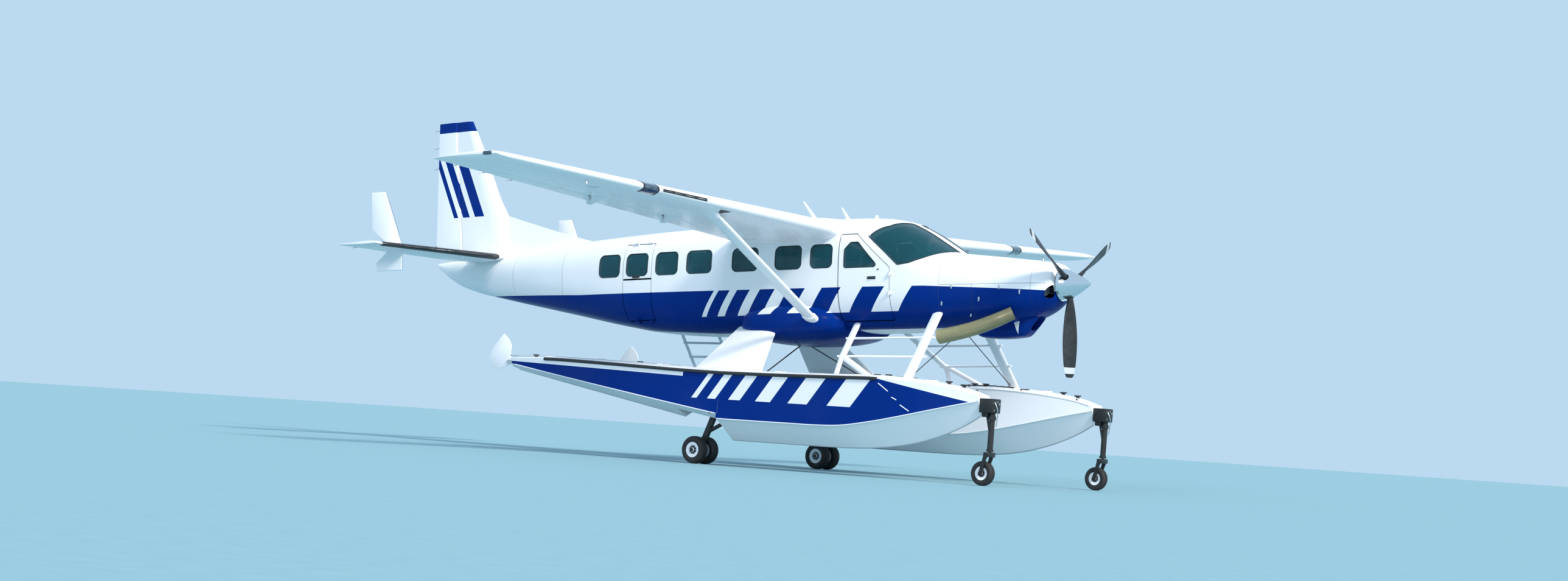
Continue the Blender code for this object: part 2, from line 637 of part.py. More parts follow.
for panel, sign, (x0, x1), edge_z, way in leaves:
    hinge_z = edge_z + way * 0.010
    spots = [x1 - (x1 - x0) * s for s in (0.14, 0.62)]
    hinge_y = hull_half_width(HULL_STATIONS, spots[0], hinge_z) + HINGE_STAND
    for number, x in enumerate(spots):
        shell_y = hull_half_width(HULL_STATIONS, x, hinge_z + way * 0.040) - 0.022
        door_y = hull_half_width(HULL_STATIONS, x, hinge_z - way * 0.060) - 0.024
        door_hinge(cabin, panel, number, (x, sign * hinge_y, hinge_z), (1, 0, 0),
                   (x, sign * shell_y, hinge_z + way * 0.040), (x, sign * door_y, hinge_z - way * 0.060))
    set_origin(panel, (spots[0], sign * hinge_y, hinge_z))
for panel in (cabin, upper, lower, cargo_upper, cargo_lower):
    paint(panel, WHITE)

tail_x = TAIL_STATIONS[0][0] - SEAT
tail = hull("tail_cone", TAIL_STATIONS, 0.0, tail_x, TAIL_STATIONS[-1][0], airframe, parts)
paint(tail, WHITE)
tail_skin = skin_guide("tail_skin", TAIL_STATIONS)

# Belly fairing over the gear bulkhead
belly = loft("belly_fairing", [hull_ring(s, 0.0, BELLY_POINTS) for s in BELLY_STATIONS], airframe)
belly_skin = loft("belly_skin", [hull_ring(s, SEAT, BELLY_POINTS) for s in BELLY_STATIONS], airframe, cutters)
cut(belly, hull_skin)
paint(belly, BLUE)

# Cowling, split along the thrust line, with the air intakes and the chin scoop below it
cowl_front = COWL_STATIONS[-1][0]
cowl_rear = COWL_STATIONS[0][0]
cowl_hollow = loft("cowl_hollow", [hull_ring(s, -COWL_WALL) for s in COWL_STATIONS[:-1]] +
                   [hull_ring((cowl_front - COWL_WALL,) + COWL_STATIONS[-1][1:], -COWL_WALL)], airframe,
                   cutters)
shaft_hole = rod("shaft_hole", (cowl_front - 0.2, 0, THRUST_Z), (cowl_front + 0.2, 0, THRUST_Z), SHAFT_ROOM,
                 airframe, cutters, 12)
nostrils = []
for side, sign in SIDES:
    y, z = sign * NOSTRIL[0], NOSTRIL[1]
    nostrils.append(rod("nostril_" + side, (cowl_front - 0.2, y, z), (cowl_front + 0.2, y, z), NOSTRIL_RADIUS,
                        airframe, cutters, 12))
cowls = {}
for name, low_z, high_z in (("cowl_upper", THRUST_Z, 1.0), ("cowl_lower", -1.0, THRUST_Z - SEAT)):
    half = loft(name, [hull_ring(s) for s in COWL_STATIONS], airframe)
    cut(half, cowl_hollow)
    keep(half, box(name + "_side", (4.0, -1, low_z), (6.1, 1, high_z), airframe, cutters))
    cut(half, shaft_hole, *nostrils)
    cowls[name] = paint(half, WHITE if name == "cowl_upper" else BLUE)
join(cowls["cowl_lower"], loft("chin_scoop", [hull_ring(s, 0.0, CHIN_POINTS) for s in CHIN_STATIONS],
                               airframe, cutters))
cut(cowls["cowl_lower"], loft("chin_mouth", [hull_ring(s, 0.0, CHIN_POINTS) for s in MOUTH_STATIONS],
                              airframe, cutters))
cowl_skin = skin_guide("cowl_skin", COWL_STATIONS)

# Engine block and the heat-tinted exhaust stack on the starboard side
engine = turned("engine", ENGINE_PROFILE, (cowl_rear + SEAT, 0, THRUST_Z), (1, 0, 0), airframe, parts, 16)
finish(engine, GREY, 0.4, 0.8)
cut(engine, rod("shaft_bore", (5.40, 0, THRUST_Z), (5.62, 0, THRUST_Z), SHAFT_BORE, airframe, cutters, 32))

exhaust = pipe("exhaust_stack", EXHAUST_PATH, EXHAUST_RADII, airframe)
last = Vector(EXHAUST_PATH[-1])
back = (last - Vector(EXHAUST_PATH[-2])).normalized()
cut(exhaust, rod("exhaust_mouth", last - back * 0.30, last + back * 0.05, EXHAUST_RADII[-2] - EXHAUST_WALL,
                 airframe, cutters, 14))
cut(exhaust, cowl_skin)
finish(exhaust, BRONZE, 0.35, 0.9)


# Spinner and propeller

def spinner_profile(shrink):
    """The spinner's ogive from its tip to its base, as (distance, radius) pairs."""
    length = SPINNER_TIP_X - SPINNER_BASE_X - shrink
    ogive = [(length * t, (SPINNER_RADIUS - shrink) * max(cos(t * pi / 2), 0) ** SPINNER_POWER)
             for t in SPINNER_SHARES]
    return ogive + [(0, 0)]


prop_pivot = bpy.data.objects.new("propeller_axis", None)
parts.objects.link(prop_pivot)
prop_pivot.parent = airframe
prop_pivot.location = (HUB_X, 0, THRUST_Z)
base = SPINNER_BASE_X - HUB_X
spinner = turned("spinner", spinner_profile(0.0), (base, 0, 0), (1, 0, 0), prop_pivot, parts, 16)
cut(spinner, turned("spinner_hollow", spinner_profile(SPINNER_WALL), (base - SEAT, 0, 0), (1, 0, 0),
                    prop_pivot, cutters, 16))
propeller = turned("propeller", HUB_PROFILE, (0, 0, 0), (1, 0, 0), prop_pivot, parts, 32)
for blade in range(BLADES):
    angle = -pi / 2 + blade * 2 * pi / BLADES
    out = Vector((0, cos(angle), sin(angle)))
    across = Vector((1, 0, 0)).cross(out)
    rings = []
    for radius, chord, thick, pitch in BLADE_SECTIONS:
        edge = (across * cos(radians(pitch)) + Vector((1, 0, 0)) * sin(radians(pitch))).normalized()
        flat = edge.cross(out)
        turns = [2 * pi * k / BLADE_POINTS for k in range(BLADE_POINTS)]
        rings.append([out * radius + edge * chord / 2 * cos(t) + flat * chord * thick / 2 * sin(t)
                      for t in turns])
    join(propeller, loft("blade_%d" % blade, rings, prop_pivot, cutters))
    cut(spinner, rod("blade_hole_%d" % blade, out * 0.06, out * 0.30, 0.072, prop_pivot, cutters, 10))
finish(spinner, CHROME, 0.05, 1.0)
finish(propeller, BLACK, 0.35, 0.3)

# Wing


def share(y):
    return (abs(y) - ROOT_Y) / (SEMI_SPAN - ROOT_Y)


def wing_le(y):
    return ROOT_LE_X + (TIP_LE_X - ROOT_LE_X) * share(y)


def wing_chord(y):
    return ROOT_CHORD + (TIP_CHORD - ROOT_CHORD) * share(y)


def wing_z(y):
    return ROOT_Z + (abs(y) - ROOT_Y) * tan(DIHEDRAL)


def wing_thickness(y):
    return ROOT_THICKNESS + (TIP_THICKNESS - ROOT_THICKNESS) * share(y)


def foil_half(u, thickness):
    """Half thickness of the section at a share of its chord."""
    u = min(max(u, 0.0), 1.0)
    return 5 * thickness * (0.2969 * sqrt(u) - 0.1260 * u - 0.3516 * u ** 2
                            + 0.2843 * u ** 3 - 0.1002 * u ** 4)


def camber(u):
    return 0.018 * (1 - (2 * u - 0.9) ** 2 / 1.21)


def wing_point(y, u, lift):
    """A point of the wing at a share of the chord, raised from the chord line by a distance."""
    chord = wing_chord(y)
    turn = ROOT_INCIDENCE * (1 - share(y))
    x = (0.25 - u) * chord
    z = camber(u) * chord + lift
    return Vector((wing_le(y) - 0.25 * chord + x * cos(turn) - z * sin(turn), y,
                   wing_z(y) + x * sin(turn) + z * cos(turn)))


def foil_outline(chord, thickness, grow=0.0):
    """Shares of the chord and lifts round a closed section, upper side first from the tail."""
    outline = []
    for side in (1, -1):
        for i in range(FOIL_STEPS + 1):
            u = (1 + side * cos(pi * i / FOIL_STEPS)) / 2
            lift = foil_half(u, thickness) * chord + FOIL_EDGE + grow
            outline.append((u + (2 * u - 1) * grow / chord, side * lift))
    return outline


def wing_ring(y, grow=0.0, tip=1.0):
    """A closed wing section."""
    return [wing_point(y, u, lift) for u, lift in foil_outline(wing_chord(y), wing_thickness(y) * tip, grow)]


def hinge_point(y, drop=0.0):
    return wing_point(y, HINGE_SHARE, -drop)


def surface_ring(y, nose_share):
    """A control surface section: a round nose about its hinge, tapering to the tail."""
    chord = wing_chord(y)
    nose = foil_half(nose_share, wing_thickness(y)) * chord * 0.96
    ring = []
    for i in range(7):
        turn = pi / 2 + pi * i / 6
        u = nose_share + nose * cos(turn) / chord
        ring.append(wing_point(y, u, nose * sin(turn)))
    ring.append(wing_point(y, 1.0, -0.003))
    ring.append(wing_point(y, 1.0, 0.003))
    return ring


def wing_cutter(name, y0, y1, sign):
    """The bay behind the rear spar that a flap or aileron sits in."""
    rings = []
    for y in (y0, y1):
        chord = wing_chord(y)
        nose = foil_half(HINGE_SHARE, wing_thickness(y)) * chord
        front = HINGE_SHARE - (nose + MOVING_GAP) / chord
        rings.append([wing_point(sign * y, front, -0.5), wing_point(sign * y, 1.2, -0.5),
                      wing_point(sign * y, 1.2, 0.5), wing_point(sign * y, front, 0.5)])
    return loft(name, rings, airframe, cutters)


wings = {}
wing_guides = {}
for side, sign in SIDES:
    spans = (0.35, ROOT_Y, 2.4, 4.2, 6.0, 7.4)
    rings = [wing_ring(sign * y) for y in spans]
    guide_rings = [wing_ring(sign * y, SEAT) for y in spans]
    for y, tip in ((7.72, 0.86), (7.86, 0.62), (SEMI_SPAN, 0.28)):
        rings.append(wing_ring(sign * y, 0.0, tip))
    wing = loft("wing_" + side, rings, airframe)
    wing_guides[side] = loft("wing_guide_" + side, guide_rings, airframe, cutters)
    cut(wing, hull_skin)
    wings[side] = paint(wing, WHITE)
    cut(wing, wing_cutter("flap_bay_" + side, FLAP_Y[0] - MOVING_GAP, FLAP_Y[1] + MOVING_GAP, sign))
    cut(wing, wing_cutter("aileron_bay_" + side, AILERON_Y[0] - MOVING_GAP, AILERON_Y[1] + MOVING_GAP, sign))
    for kind, (y0, y1) in (("flap", FLAP_Y), ("aileron", AILERON_Y)):
        surface = loft(kind + "_" + side, [surface_ring(sign * y, HINGE_SHARE) for y in (y0, y1)], airframe)
        ends = [hinge_point(sign * y) for y in (y0, y1)]
        axis = (ends[1] - ends[0]).normalized()
        if kind == "aileron":
            for spot in (0.2, 0.8):
                at = ends[0].lerp(ends[1], spot)
                nose = foil_half(HINGE_SHARE, wing_thickness(at.y)) * wing_chord(at.y)
                knuckle(wing, surface, at, axis, (1, 0, 0), nose + 0.05, nose)
            set_origin(surface, ends[0])
        else:
            low = [hinge_point(sign * y, FLAP_HINGE_DROP) for y in (y0, y1)]
            axis = (low[1] - low[0]).normalized()
            for spot in (0.12, 0.5, 0.88):
                at = low[0].lerp(low[1], spot)
                y = at.y
                root = wing_point(y, HINGE_SHARE - 0.30, 0.0)
                mid = wing_point(y, HINGE_SHARE - 0.08, -0.05)
                arm = [(at.x - 0.03, at.z - 0.025), (at.x + 0.02, at.z - 0.035), (root.x, root.z - 0.06),
                       (root.x, root.z),
                       (mid.x, mid.z), (mid.x - 0.02, mid.z - 0.05), (at.x - 0.03, at.z + 0.025)]
                join(wing, prism("flap_arm", arm, y - 0.016, y + 0.016, airframe, cutters))
                join(wing, rod("flap_arm_pin", at - axis * 0.045, at + axis * 0.045, PIN_RADIUS, airframe,
                               cutters, 8))
                for edge in (-1, 1):
                    y_in = y + edge * (0.016 + MOVING_GAP)
                    y_out = y_in + edge * 0.018
                    top = wing_point(y, HINGE_SHARE + 0.02, 0.0)
                    lug = [(at.x - 0.025, at.z - 0.02), (at.x + 0.02, at.z - 0.02),
                           (at.x + 0.02, at.z + 0.02),
                           (top.x + 0.02, top.z), (top.x - 0.12, top.z), (at.x - 0.025, at.z + 0.02)]
                    join(surface, prism("flap_lug", lug, y_in, y_out, airframe, cutters))
                cut(surface, rod("flap_lug_bore", at - axis * 0.048, at + axis * 0.048, PIN_RADIUS + PIN_PLAY,
                                 airframe, cutters, 8))
                clear = MOVING_GAP + 0.016
                cut(surface, prism("flap_arm_slot",
                                   [(at.x - 0.2, at.z - 0.05), (root.x + 0.1, at.z - 0.05),
                                    (root.x + 0.1, at.z + 0.1),
                    (at.x - 0.2, at.z + 0.1)], y - clear, y + clear, airframe, cutters))
            set_origin(surface, low[0])
        paint(surface, WHITE)


def strut(name, start, end, chord, thick, way, parent, sides=16, end_chord=None, collection=parts):
    """A streamlined strut between two points, its chord along a direction."""
    start, end = Vector(start), Vector(end)
    along = (end - start).normalized()
    fore = (Vector(way) - along * Vector(way).dot(along)).normalized()
    side = along.cross(fore)
    rings = []
    for place, width in ((start, chord), (end, end_chord or chord)):
        turns = [2 * pi * k / sides for k in range(sides)]
        rings.append([place + fore * width / 2 * cos(t) + side * thick / 2 * sin(t) for t in turns])
    return loft(name, rings, parent, collection)


for side, sign in SIDES:
    start, end = (Vector((x, sign * y, z)) for x, y, z in WING_STRUT)
    brace = strut("wing_strut_" + side, start, end, *WING_STRUT_SIZE, (1, 0, 0), airframe)
    cut(brace, hull_skin, belly_skin, wing_guides[side])
    paint(brace, WHITE)

# Tail surfaces


def fin_ring(z, le, te, half):
    """A fin section at a height, as a lens with a blunt rear."""
    ring = []
    for u, t in ((0, 0), (0.04, 0.45), (0.15, 0.8), (0.35, 1.0), (0.65, 0.86), (1.0, 0.45)):
        ring.append(Vector((le + (te - le) * u, half * t + (0.002 if t == 0 else 0), z)))
    for u, t in ((1.0, 0.45), (0.65, 0.86), (0.35, 1.0), (0.15, 0.8), (0.04, 0.45)):
        ring.append(Vector((le + (te - le) * u, -half * t, z)))
    return ring


def rudder_hinge_x(z):
    (x0, z0), (x1, z1) = RUDDER_HINGE
    return x0 + (x1 - x0) * (z - z0) / (z1 - z0)


fin = loft("fin", [fin_ring(z, le, rudder_hinge_x(z) + RUDDER_NOSE + MOVING_GAP, half) for z, le,
                   half in FIN_LEADING], airframe)
dorsal = loft("dorsal", [[Vector((-2.70, s * 0.02, 0.90)) for s in (-1, 1)]
                         + [Vector((-2.70, s * 0.012, 0.975)) for s in (1, -1)],
              [Vector((-4.90, s * 0.075, 0.70)) for s in (-1, 1)]
                         + [Vector((-4.90, s * 0.030, 1.56)) for s in (1, -1)]],
              airframe, cutters)
join(fin, dorsal)
cut(fin, tail_skin, hull_skin)
paint(fin, WHITE)

rings = []
for z in (RUDDER_FOOT_Z, 1.9, FIN_TOP_Z):
    hx = rudder_hinge_x(z)
    ring = []
    for i in range(7):
        turn = pi / 2 - pi * i / 6
        ring.append(Vector((hx + RUDDER_NOSE * cos(turn), RUDDER_NOSE * sin(turn), z)))
    ring += [Vector((RUDDER_REAR_X, -0.004, z)), Vector((RUDDER_REAR_X, 0.004, z))]
    rings.append(ring)
rudder = loft("rudder", rings, airframe)
foot = Vector((rudder_hinge_x(RUDDER_FOOT_Z), 0, RUDDER_FOOT_Z))
head = Vector((rudder_hinge_x(FIN_TOP_Z), 0, FIN_TOP_Z))
for spot in (0.15, 0.55, 0.88):
    knuckle(fin, rudder, foot.lerp(head, spot), head - foot, (1, 0, 0), 0.09, RUDDER_NOSE)
set_origin(rudder, foot)
paint(rudder, WHITE)


def tail_le(y):
    return TAIL_ROOT[0] + (TAIL_TIP[0] - TAIL_ROOT[0]) * abs(y) / TAIL_SEMI_SPAN


def tail_chord(y):
    return TAIL_ROOT[1] + (TAIL_TIP[1] - TAIL_ROOT[1]) * abs(y) / TAIL_SEMI_SPAN


def tail_ring(y, grow=0.0, tip=1.0):
    """A closed tailplane section."""
    return [Vector((tail_le(y) - u * tail_chord(y), y, TAIL_Z + lift))
            for u, lift in foil_outline(tail_chord(y), TAIL_THICKNESS * tip, grow)]


def elevator_hinge(y):
    return Vector((tail_le(y) - ELEVATOR_SHARE * tail_chord(y), y, TAIL_Z))


stabilizer = loft("stabilizer", [tail_ring(-TAIL_SEMI_SPAN, 0, 0.3), tail_ring(-3.05), tail_ring(0.0),
                                 tail_ring(3.05),
                                 tail_ring(TAIL_SEMI_SPAN, 0, 0.3)], airframe)
for side, sign in SIDES:
    rings = []
    for y in (ELEVATOR_Y[0] - 0.12, ELEVATOR_Y[1] + MOVING_GAP):
        front = elevator_hinge(y).x + ELEVATOR_NOSE + MOVING_GAP
        rings.append([Vector((front, sign * y, TAIL_Z - 0.2)), Vector((-6.4, sign * y, TAIL_Z - 0.2)),
                      Vector((-6.4, sign * y, TAIL_Z + 0.2)), Vector((front, sign * y, TAIL_Z + 0.2))])
    cut(stabilizer, loft("elevator_bay_" + side, rings, airframe, cutters))
    y = sign * FINLET_Y
    join(stabilizer, prism("finlet_" + side, FINLET, y - FINLET_THICKNESS / 2, y + FINLET_THICKNESS / 2,
                           airframe, cutters))
middle = box("stabilizer_middle", (-5.42, -0.181, TAIL_Z - 0.3), (-6.4, 0.181, TAIL_Z + 0.3), airframe,
             cutters)
cut(stabilizer, middle)
cut(stabilizer, box("rudder_room", (-5.60, -0.20, 0.86), (-6.6, 0.20, 1.2), airframe, cutters))
stab_slot = loft("stabilizer_slot", [tail_ring(y, SEAT) for y in (-0.6, 0.0, 0.6)], airframe, cutters)
cut(tail, stab_slot)
cut(fin, stab_slot)
paint(stabilizer, WHITE)

rings = []
for side, sign in SIDES:
    half_rings = []
    for y in ELEVATOR_Y:
        at = elevator_hinge(sign * y)
        nose = ELEVATOR_NOSE * 0.95
        ring = [at + Vector((nose * cos(t), 0, nose * sin(t)))
                for t in [pi / 2 - pi * i / 6 for i in range(7)]]
        tail_end = tail_le(y) - tail_chord(y)
        ring += [Vector((tail_end, sign * y, TAIL_Z - 0.003)), Vector((tail_end, sign * y, TAIL_Z + 0.003))]
        half_rings.append(ring)
    piece = loft("elevator_" + side, half_rings, airframe)
    a, b = elevator_hinge(sign * ELEVATOR_Y[0]), elevator_hinge(sign * ELEVATOR_Y[1])
    for spot in (0.12, 0.62, 0.93):
        knuckle(stabilizer, piece, a.lerp(b, spot), b - a, (1, 0, 0), 0.09, ELEVATOR_NOSE)
    set_origin(piece, a)
    paint(piece, WHITE)

# Floats


def float_ring(station, y0, grow=0.0):
    """A float section: crowned deck, slab sides and a vee bottom."""
    x, deck, crown, deck_half, chine, chine_half, keel = station
    deck_half, chine_half = deck_half + grow, chine_half + grow
    right = [(0, deck + crown + grow), (0.55 * deck_half, deck + crown * 0.85 + grow),
             (0.88 * deck_half, deck + crown * 0.45 + grow),
             (deck_half, deck), (deck_half + (chine_half - deck_half) * 0.5, (deck + chine) / 2),
             (chine_half, chine), (chine_half * 0.93, chine - 0.012 - grow),
             (chine_half * 0.45, chine + (keel - chine) * 0.50 - grow),
             (0, keel - grow)]
    left = [(-y, z) for y, z in reversed(right[1:-1])]
    return [Vector((x, y0 + y, z)) for y, z in right + left]


def float_loft(name, y0, grow, collection):
    """The forebody, with the afterbody joined behind its step."""
    rear_end = AFT_STATIONS[-1]
    tucked = (rear_end[0] + 0.02,) + rear_end[1:]
    body = loft(name, [float_ring(s, y0, grow) for s in FORE_STATIONS], level, collection)
    after = [float_ring(s, y0, grow) for s in AFT_STATIONS + (tucked,)]
    for point in after[-1]:
        point.y = y0 + (point.y - y0) * 0.995
    join(body, loft(name + "_afterbody", after, level, cutters))
    return body


float_guides = {}
for side, sign in SIDES:
    y0 = sign * FLOAT_Y
    hull_float = float_loft("float_" + side, y0, 0.0, parts)
    float_guides[side] = float_loft("float_guide_" + side, y0, SEAT, cutters)
    cut(hull_float, box("wheel_well_" + side, (WELL_X[0], y0 - WELL_HALF, -2.4),
                        (WELL_X[1], y0 + WELL_HALF, WELL_TOP_Z),
                        level, cutters))
    for low_z, high_z in BRACKET_Z:
        join(hull_float, box("stern_bracket_" + side, (WATER_STEER_X - 0.022, y0 - 0.022, low_z),
                             (AFT_STATIONS[0][0] + 0.01, y0 + 0.022, high_z), level, cutters))
    cut(hull_float, rod("stern_bore_" + side, (WATER_STEER_X, y0, -1.32), (WATER_STEER_X, y0, -1.08),
                        POST_RADIUS + PIN_PLAY, level, cutters))
    paint(hull_float, BLUE)

# Float struts: streamlined legs, the wide rear fairings, and the ladder with its step bars

for side, sign in SIDES:
    places = (FRONT_STRUT[0], LADDER_TOP, LADDER_KNEE)
    front_top, ladder_top, knee = (Vector((x, sign * y, z)) for x, y, z in places)
    places = (FRONT_STRUT[1], LADDER_FOOT, BRACE_FOOT)
    front_foot, ladder_foot, brace_foot = (to_air(x, sign * y, z) for x, y, z in places)
    front = strut("front_struts_" + side, front_top, front_foot, *FRONT_STRUT_SIZE, (1, 0, 0), airframe, 10)
    raised = knee + Vector((0, 0, 0.02))
    for name, a, b, chord in (("ladder_strut", ladder_top, knee, 0.115),
                              ("ladder_foot", raised, ladder_foot, 0.085),
                              ("ladder_brace", raised, brace_foot, 0.085)):
        join(front, strut(name + "_" + side, a, b, chord, LADDER_THICKNESS, (1, 0, 0), airframe, 8, None,
                          cutters))
    for name, at_ladder, at_strut in STEPS:
        a = ladder_top.lerp(knee, at_ladder)
        b = front_top.lerp(front_foot, at_strut)
        along = (b - a).normalized()
        join(front, rod(name + "_" + side, a - along * STEP_ENDS[0], b + along * STEP_ENDS[1], STEP_RADIUS,
                        airframe, cutters, 6))
    cut(front, hull_skin, cowl_skin, float_guides[side])
    paint(front, WHITE)
    rear_rings = []
    for fore_x, aft_x, y, z in REAR_STRUT:
        rear_rings.append([Vector((fore_x + (aft_x - fore_x) * u, sign * y + REAR_LEAN[0] * t,
                                   z + REAR_LEAN[1] * t * sign)) for u, t in REAR_SECTION])
    rear = loft("rear_strut_" + side, rear_rings, airframe)
    cut(rear, hull_skin, belly_skin, float_guides[side])
    paint(rear, WHITE)

# Landing gear


def wheel_profile(radius, half):
    """Tyre and rim in one turned profile: hub face, rim flange, shoulder and tread."""
    one_side = [(half * along, radius * r) for along, r in
                ((0.78, 0), (0.78, 0.15), (0.72, 0.50), (1, 0.62), (1, 0.84), (0.55, 1))]
    return one_side + [(-along, r) for along, r in reversed(one_side)]


for side, sign in SIDES:
    y0 = sign * FLOAT_Y
    pivot_x, pivot_z = MAIN_PIVOT
    axle_x, axle_z = MAIN_AXLE
    reach = WELL_HALF - SEAT
    leg = rod("main_leg_" + side, (pivot_x, y0 - reach, pivot_z), (pivot_x, y0 + reach, pivot_z),
              MAIN_SHAFT_RADIUS,
              level, parts, 16)
    join(leg, loft("main_arm_" + side, [[Vector((x + dx, y0 + dy, z + dz)) for dx, dy, dz in ARM_CORNERS]
                                        for x, z in (MAIN_PIVOT, (axle_x + 0.005, axle_z + 0.01))], level,
                   cutters))
    reach = MAIN_HALF_TRACK + MAIN_WIDTH / 2 + 0.02
    join(leg, rod("main_axle_" + side, (axle_x, y0 - reach, axle_z), (axle_x, y0 + reach, axle_z),
                  MAIN_PIN_RADIUS,
                  level, cutters, 16))
    finish(leg, BLACK, 0.4, 0.5)
    for place, shift in (("inner", -sign), ("outer", sign)):
        tag = "%s_%s" % (side, place)
        wheel = turned("main_wheel_" + tag, wheel_profile(MAIN_RADIUS, MAIN_WIDTH / 2), (0, 0, 0), (0, 1, 0),
                       level, parts, 16)
        wheel.location = (axle_x, y0 + shift * MAIN_HALF_TRACK, axle_z)
        cut(wheel, rod("main_bore_" + tag, (axle_x, y0 - 0.4, axle_z), (axle_x, y0 + 0.4, axle_z),
                       MAIN_PIN_RADIUS + PIN_PLAY, level, cutters, 16))
        finish(wheel, BLACK, 0.8, 0.0)

    # nose gear: bow box and leg, castering fork, wheel
    foot_z, top_z = NOSE_STEM_Z
    (box_x, box_y, box_z), (box_end_x, box_end_y, box_end_z) = NOSE_BOX
    (tube_x, tube_z), tube_radius = NOSE_TUBE
    nose = box("nose_leg_" + side, (box_x, y0 + box_y, box_z), (box_end_x, y0 + box_end_y, box_end_z), level)
    join(nose, rod("nose_strut_" + side, (tube_x, y0, tube_z), (NOSE_STEM_X, y0, foot_z), tube_radius, level,
                   cutters, 16))
    cut(nose, rod("nose_socket_" + side, (NOSE_STEM_X, y0, foot_z - 0.05), (NOSE_STEM_X, y0, top_z),
                  STEM_RADIUS + PIN_PLAY, level, cutters, 16))
    finish(nose, BLACK, 0.4, 0.5)
    fork = rod("nose_fork_" + side, (NOSE_STEM_X, y0, top_z - 0.004), (NOSE_STEM_X, y0, foot_z - 0.06),
               STEM_RADIUS,
               level, parts, 16)
    arm_y = NOSE_WIDTH / 2 + 0.022
    join(fork, box("fork_bridge_" + side, (NOSE_STEM_X - 0.05, y0 - arm_y - 0.01, foot_z - 0.075),
                   (NOSE_STEM_X + 0.04, y0 + arm_y + 0.01, foot_z - 0.008), level, cutters))
    corners = [(a * FORK_ARM[0], b * FORK_ARM[1]) for a, b in ((-1, -1), (1, -1), (1, 1), (-1, 1))]
    pin_x, pin_z = NOSE_AXLE
    for edge in (-1, 1):
        rings = [[Vector((x + dx, y0 + edge * arm_y + dy, z)) for dx, dy in corners]
                 for x, z in ((NOSE_STEM_X - 0.01, foot_z - 0.04), (pin_x, pin_z - 0.03))]
        join(fork, loft("fork_arm_%s_%d" % (side, edge), rings, level, cutters))
    reach = arm_y + 0.012
    join(fork, rod("nose_axle_" + side, (pin_x, y0 - reach, pin_z), (pin_x, y0 + reach, pin_z),
                   NOSE_PIN_RADIUS,
                   level, cutters, 16))
    set_origin(fork, (NOSE_STEM_X, y0, foot_z))
    finish(fork, BLACK, 0.4, 0.5)
    wheel = turned("nose_wheel_" + side, wheel_profile(NOSE_RADIUS, NOSE_WIDTH / 2), (0, 0, 0), (0, 1, 0),
                   level, parts, 16)
    wheel.location = (pin_x, y0, pin_z)
    cut(wheel, rod("nose_bore_" + side, (pin_x, y0 - 0.3, pin_z), (pin_x, y0 + 0.3, pin_z),
                   NOSE_PIN_RADIUS + PIN_PLAY,
                   level, cutters, 16))
    finish(wheel, BLACK, 0.8, 0.0)

# Water rudders, raised at the sterns

for side, sign in SIDES:
    y0 = sign * FLOAT_Y
    pin_x, pin_z = WATER_PIVOT
    post = rod("rudder_post_" + side, (WATER_STEER_X, y0, POST_Z[0]), (WATER_STEER_X, y0, POST_Z[1]),
               POST_RADIUS,
               level, parts, 12)
    low_z, high_z = pin_z - 0.03, pin_z + 0.03
    for edge in (-1, 1):
        y = y0 + edge * 0.017
        join(post, box("post_cheek_%s_%d" % (side, edge), (pin_x - 0.03, y - 0.004, low_z),
                       (WATER_STEER_X, y + 0.004, high_z), level, cutters))
    join(post, box("post_web_" + side, (WATER_STEER_X - 0.032, y0 - 0.02, low_z),
                   (WATER_STEER_X, y0 + 0.02, high_z),
                   level, cutters))
    join(post, rod("post_pin_" + side, (pin_x, y0 - 0.02, pin_z), (pin_x, y0 + 0.02, pin_z), PIN_RADIUS,
                   level, cutters))
    set_origin(post, (WATER_STEER_X, y0, -1.20))
    finish(post, SILVER, 0.35, 0.9)
    blade = prism("water_rudder_" + side, WATER_OUTLINE, y0 - 0.008, y0 + 0.008, level)
    cut(blade, rod("water_bore_" + side, (pin_x, y0 - 0.1, pin_z), (pin_x, y0 + 0.1, pin_z),
                   PIN_RADIUS + PIN_PLAY,
                   level, cutters))
    set_origin(blade, (pin_x, y0, pin_z))
    paint(blade, WHITE)

# Cabin interior

floor = box("cabin_floor", (-2.80, -0.9, CABIN_FLOOR_Z - 0.03), (4.05, 0.9, CABIN_FLOOR_Z), airframe)
keep(floor, hull("floor_edge", HULL_STATIONS, -WALL - SEAT, front_x - WALL - SEAT, rear_x + WALL + SEAT,
                 airframe, cutters))
finish(floor, GREY, 0.9, 0.0)
panel = box("instrument_panel", (3.62, -0.62, -0.10), (3.80, 0.62, 0.30), airframe)
join(panel, box("panel_pedestal", (3.45, -0.12, CABIN_FLOOR_Z + SEAT), (3.75, 0.12, 0.0), airframe, cutters))
finish(panel, BLACK, 0.7, 0.0)
low_z, high_z = CABIN_FLOOR_Z + SEAT, CABIN_FLOOR_Z + 0.03
(rail_x, rail_end_x), (rail_y, rail_far_y) = RAIL_X, RAIL_Y
seats = box("cabin_seats", (rail_x, -rail_far_y, low_z), (rail_end_x, -rail_y, high_z), airframe)
join(seats, box("seat_rail_left", (rail_x, rail_y, low_z), (rail_end_x, rail_far_y, high_z), airframe,
                cutters))
join(seats, box("seat_cross", (rail_x, -rail_far_y, low_z), (rail_x + 0.04, rail_far_y, high_z), airframe,
                cutters))
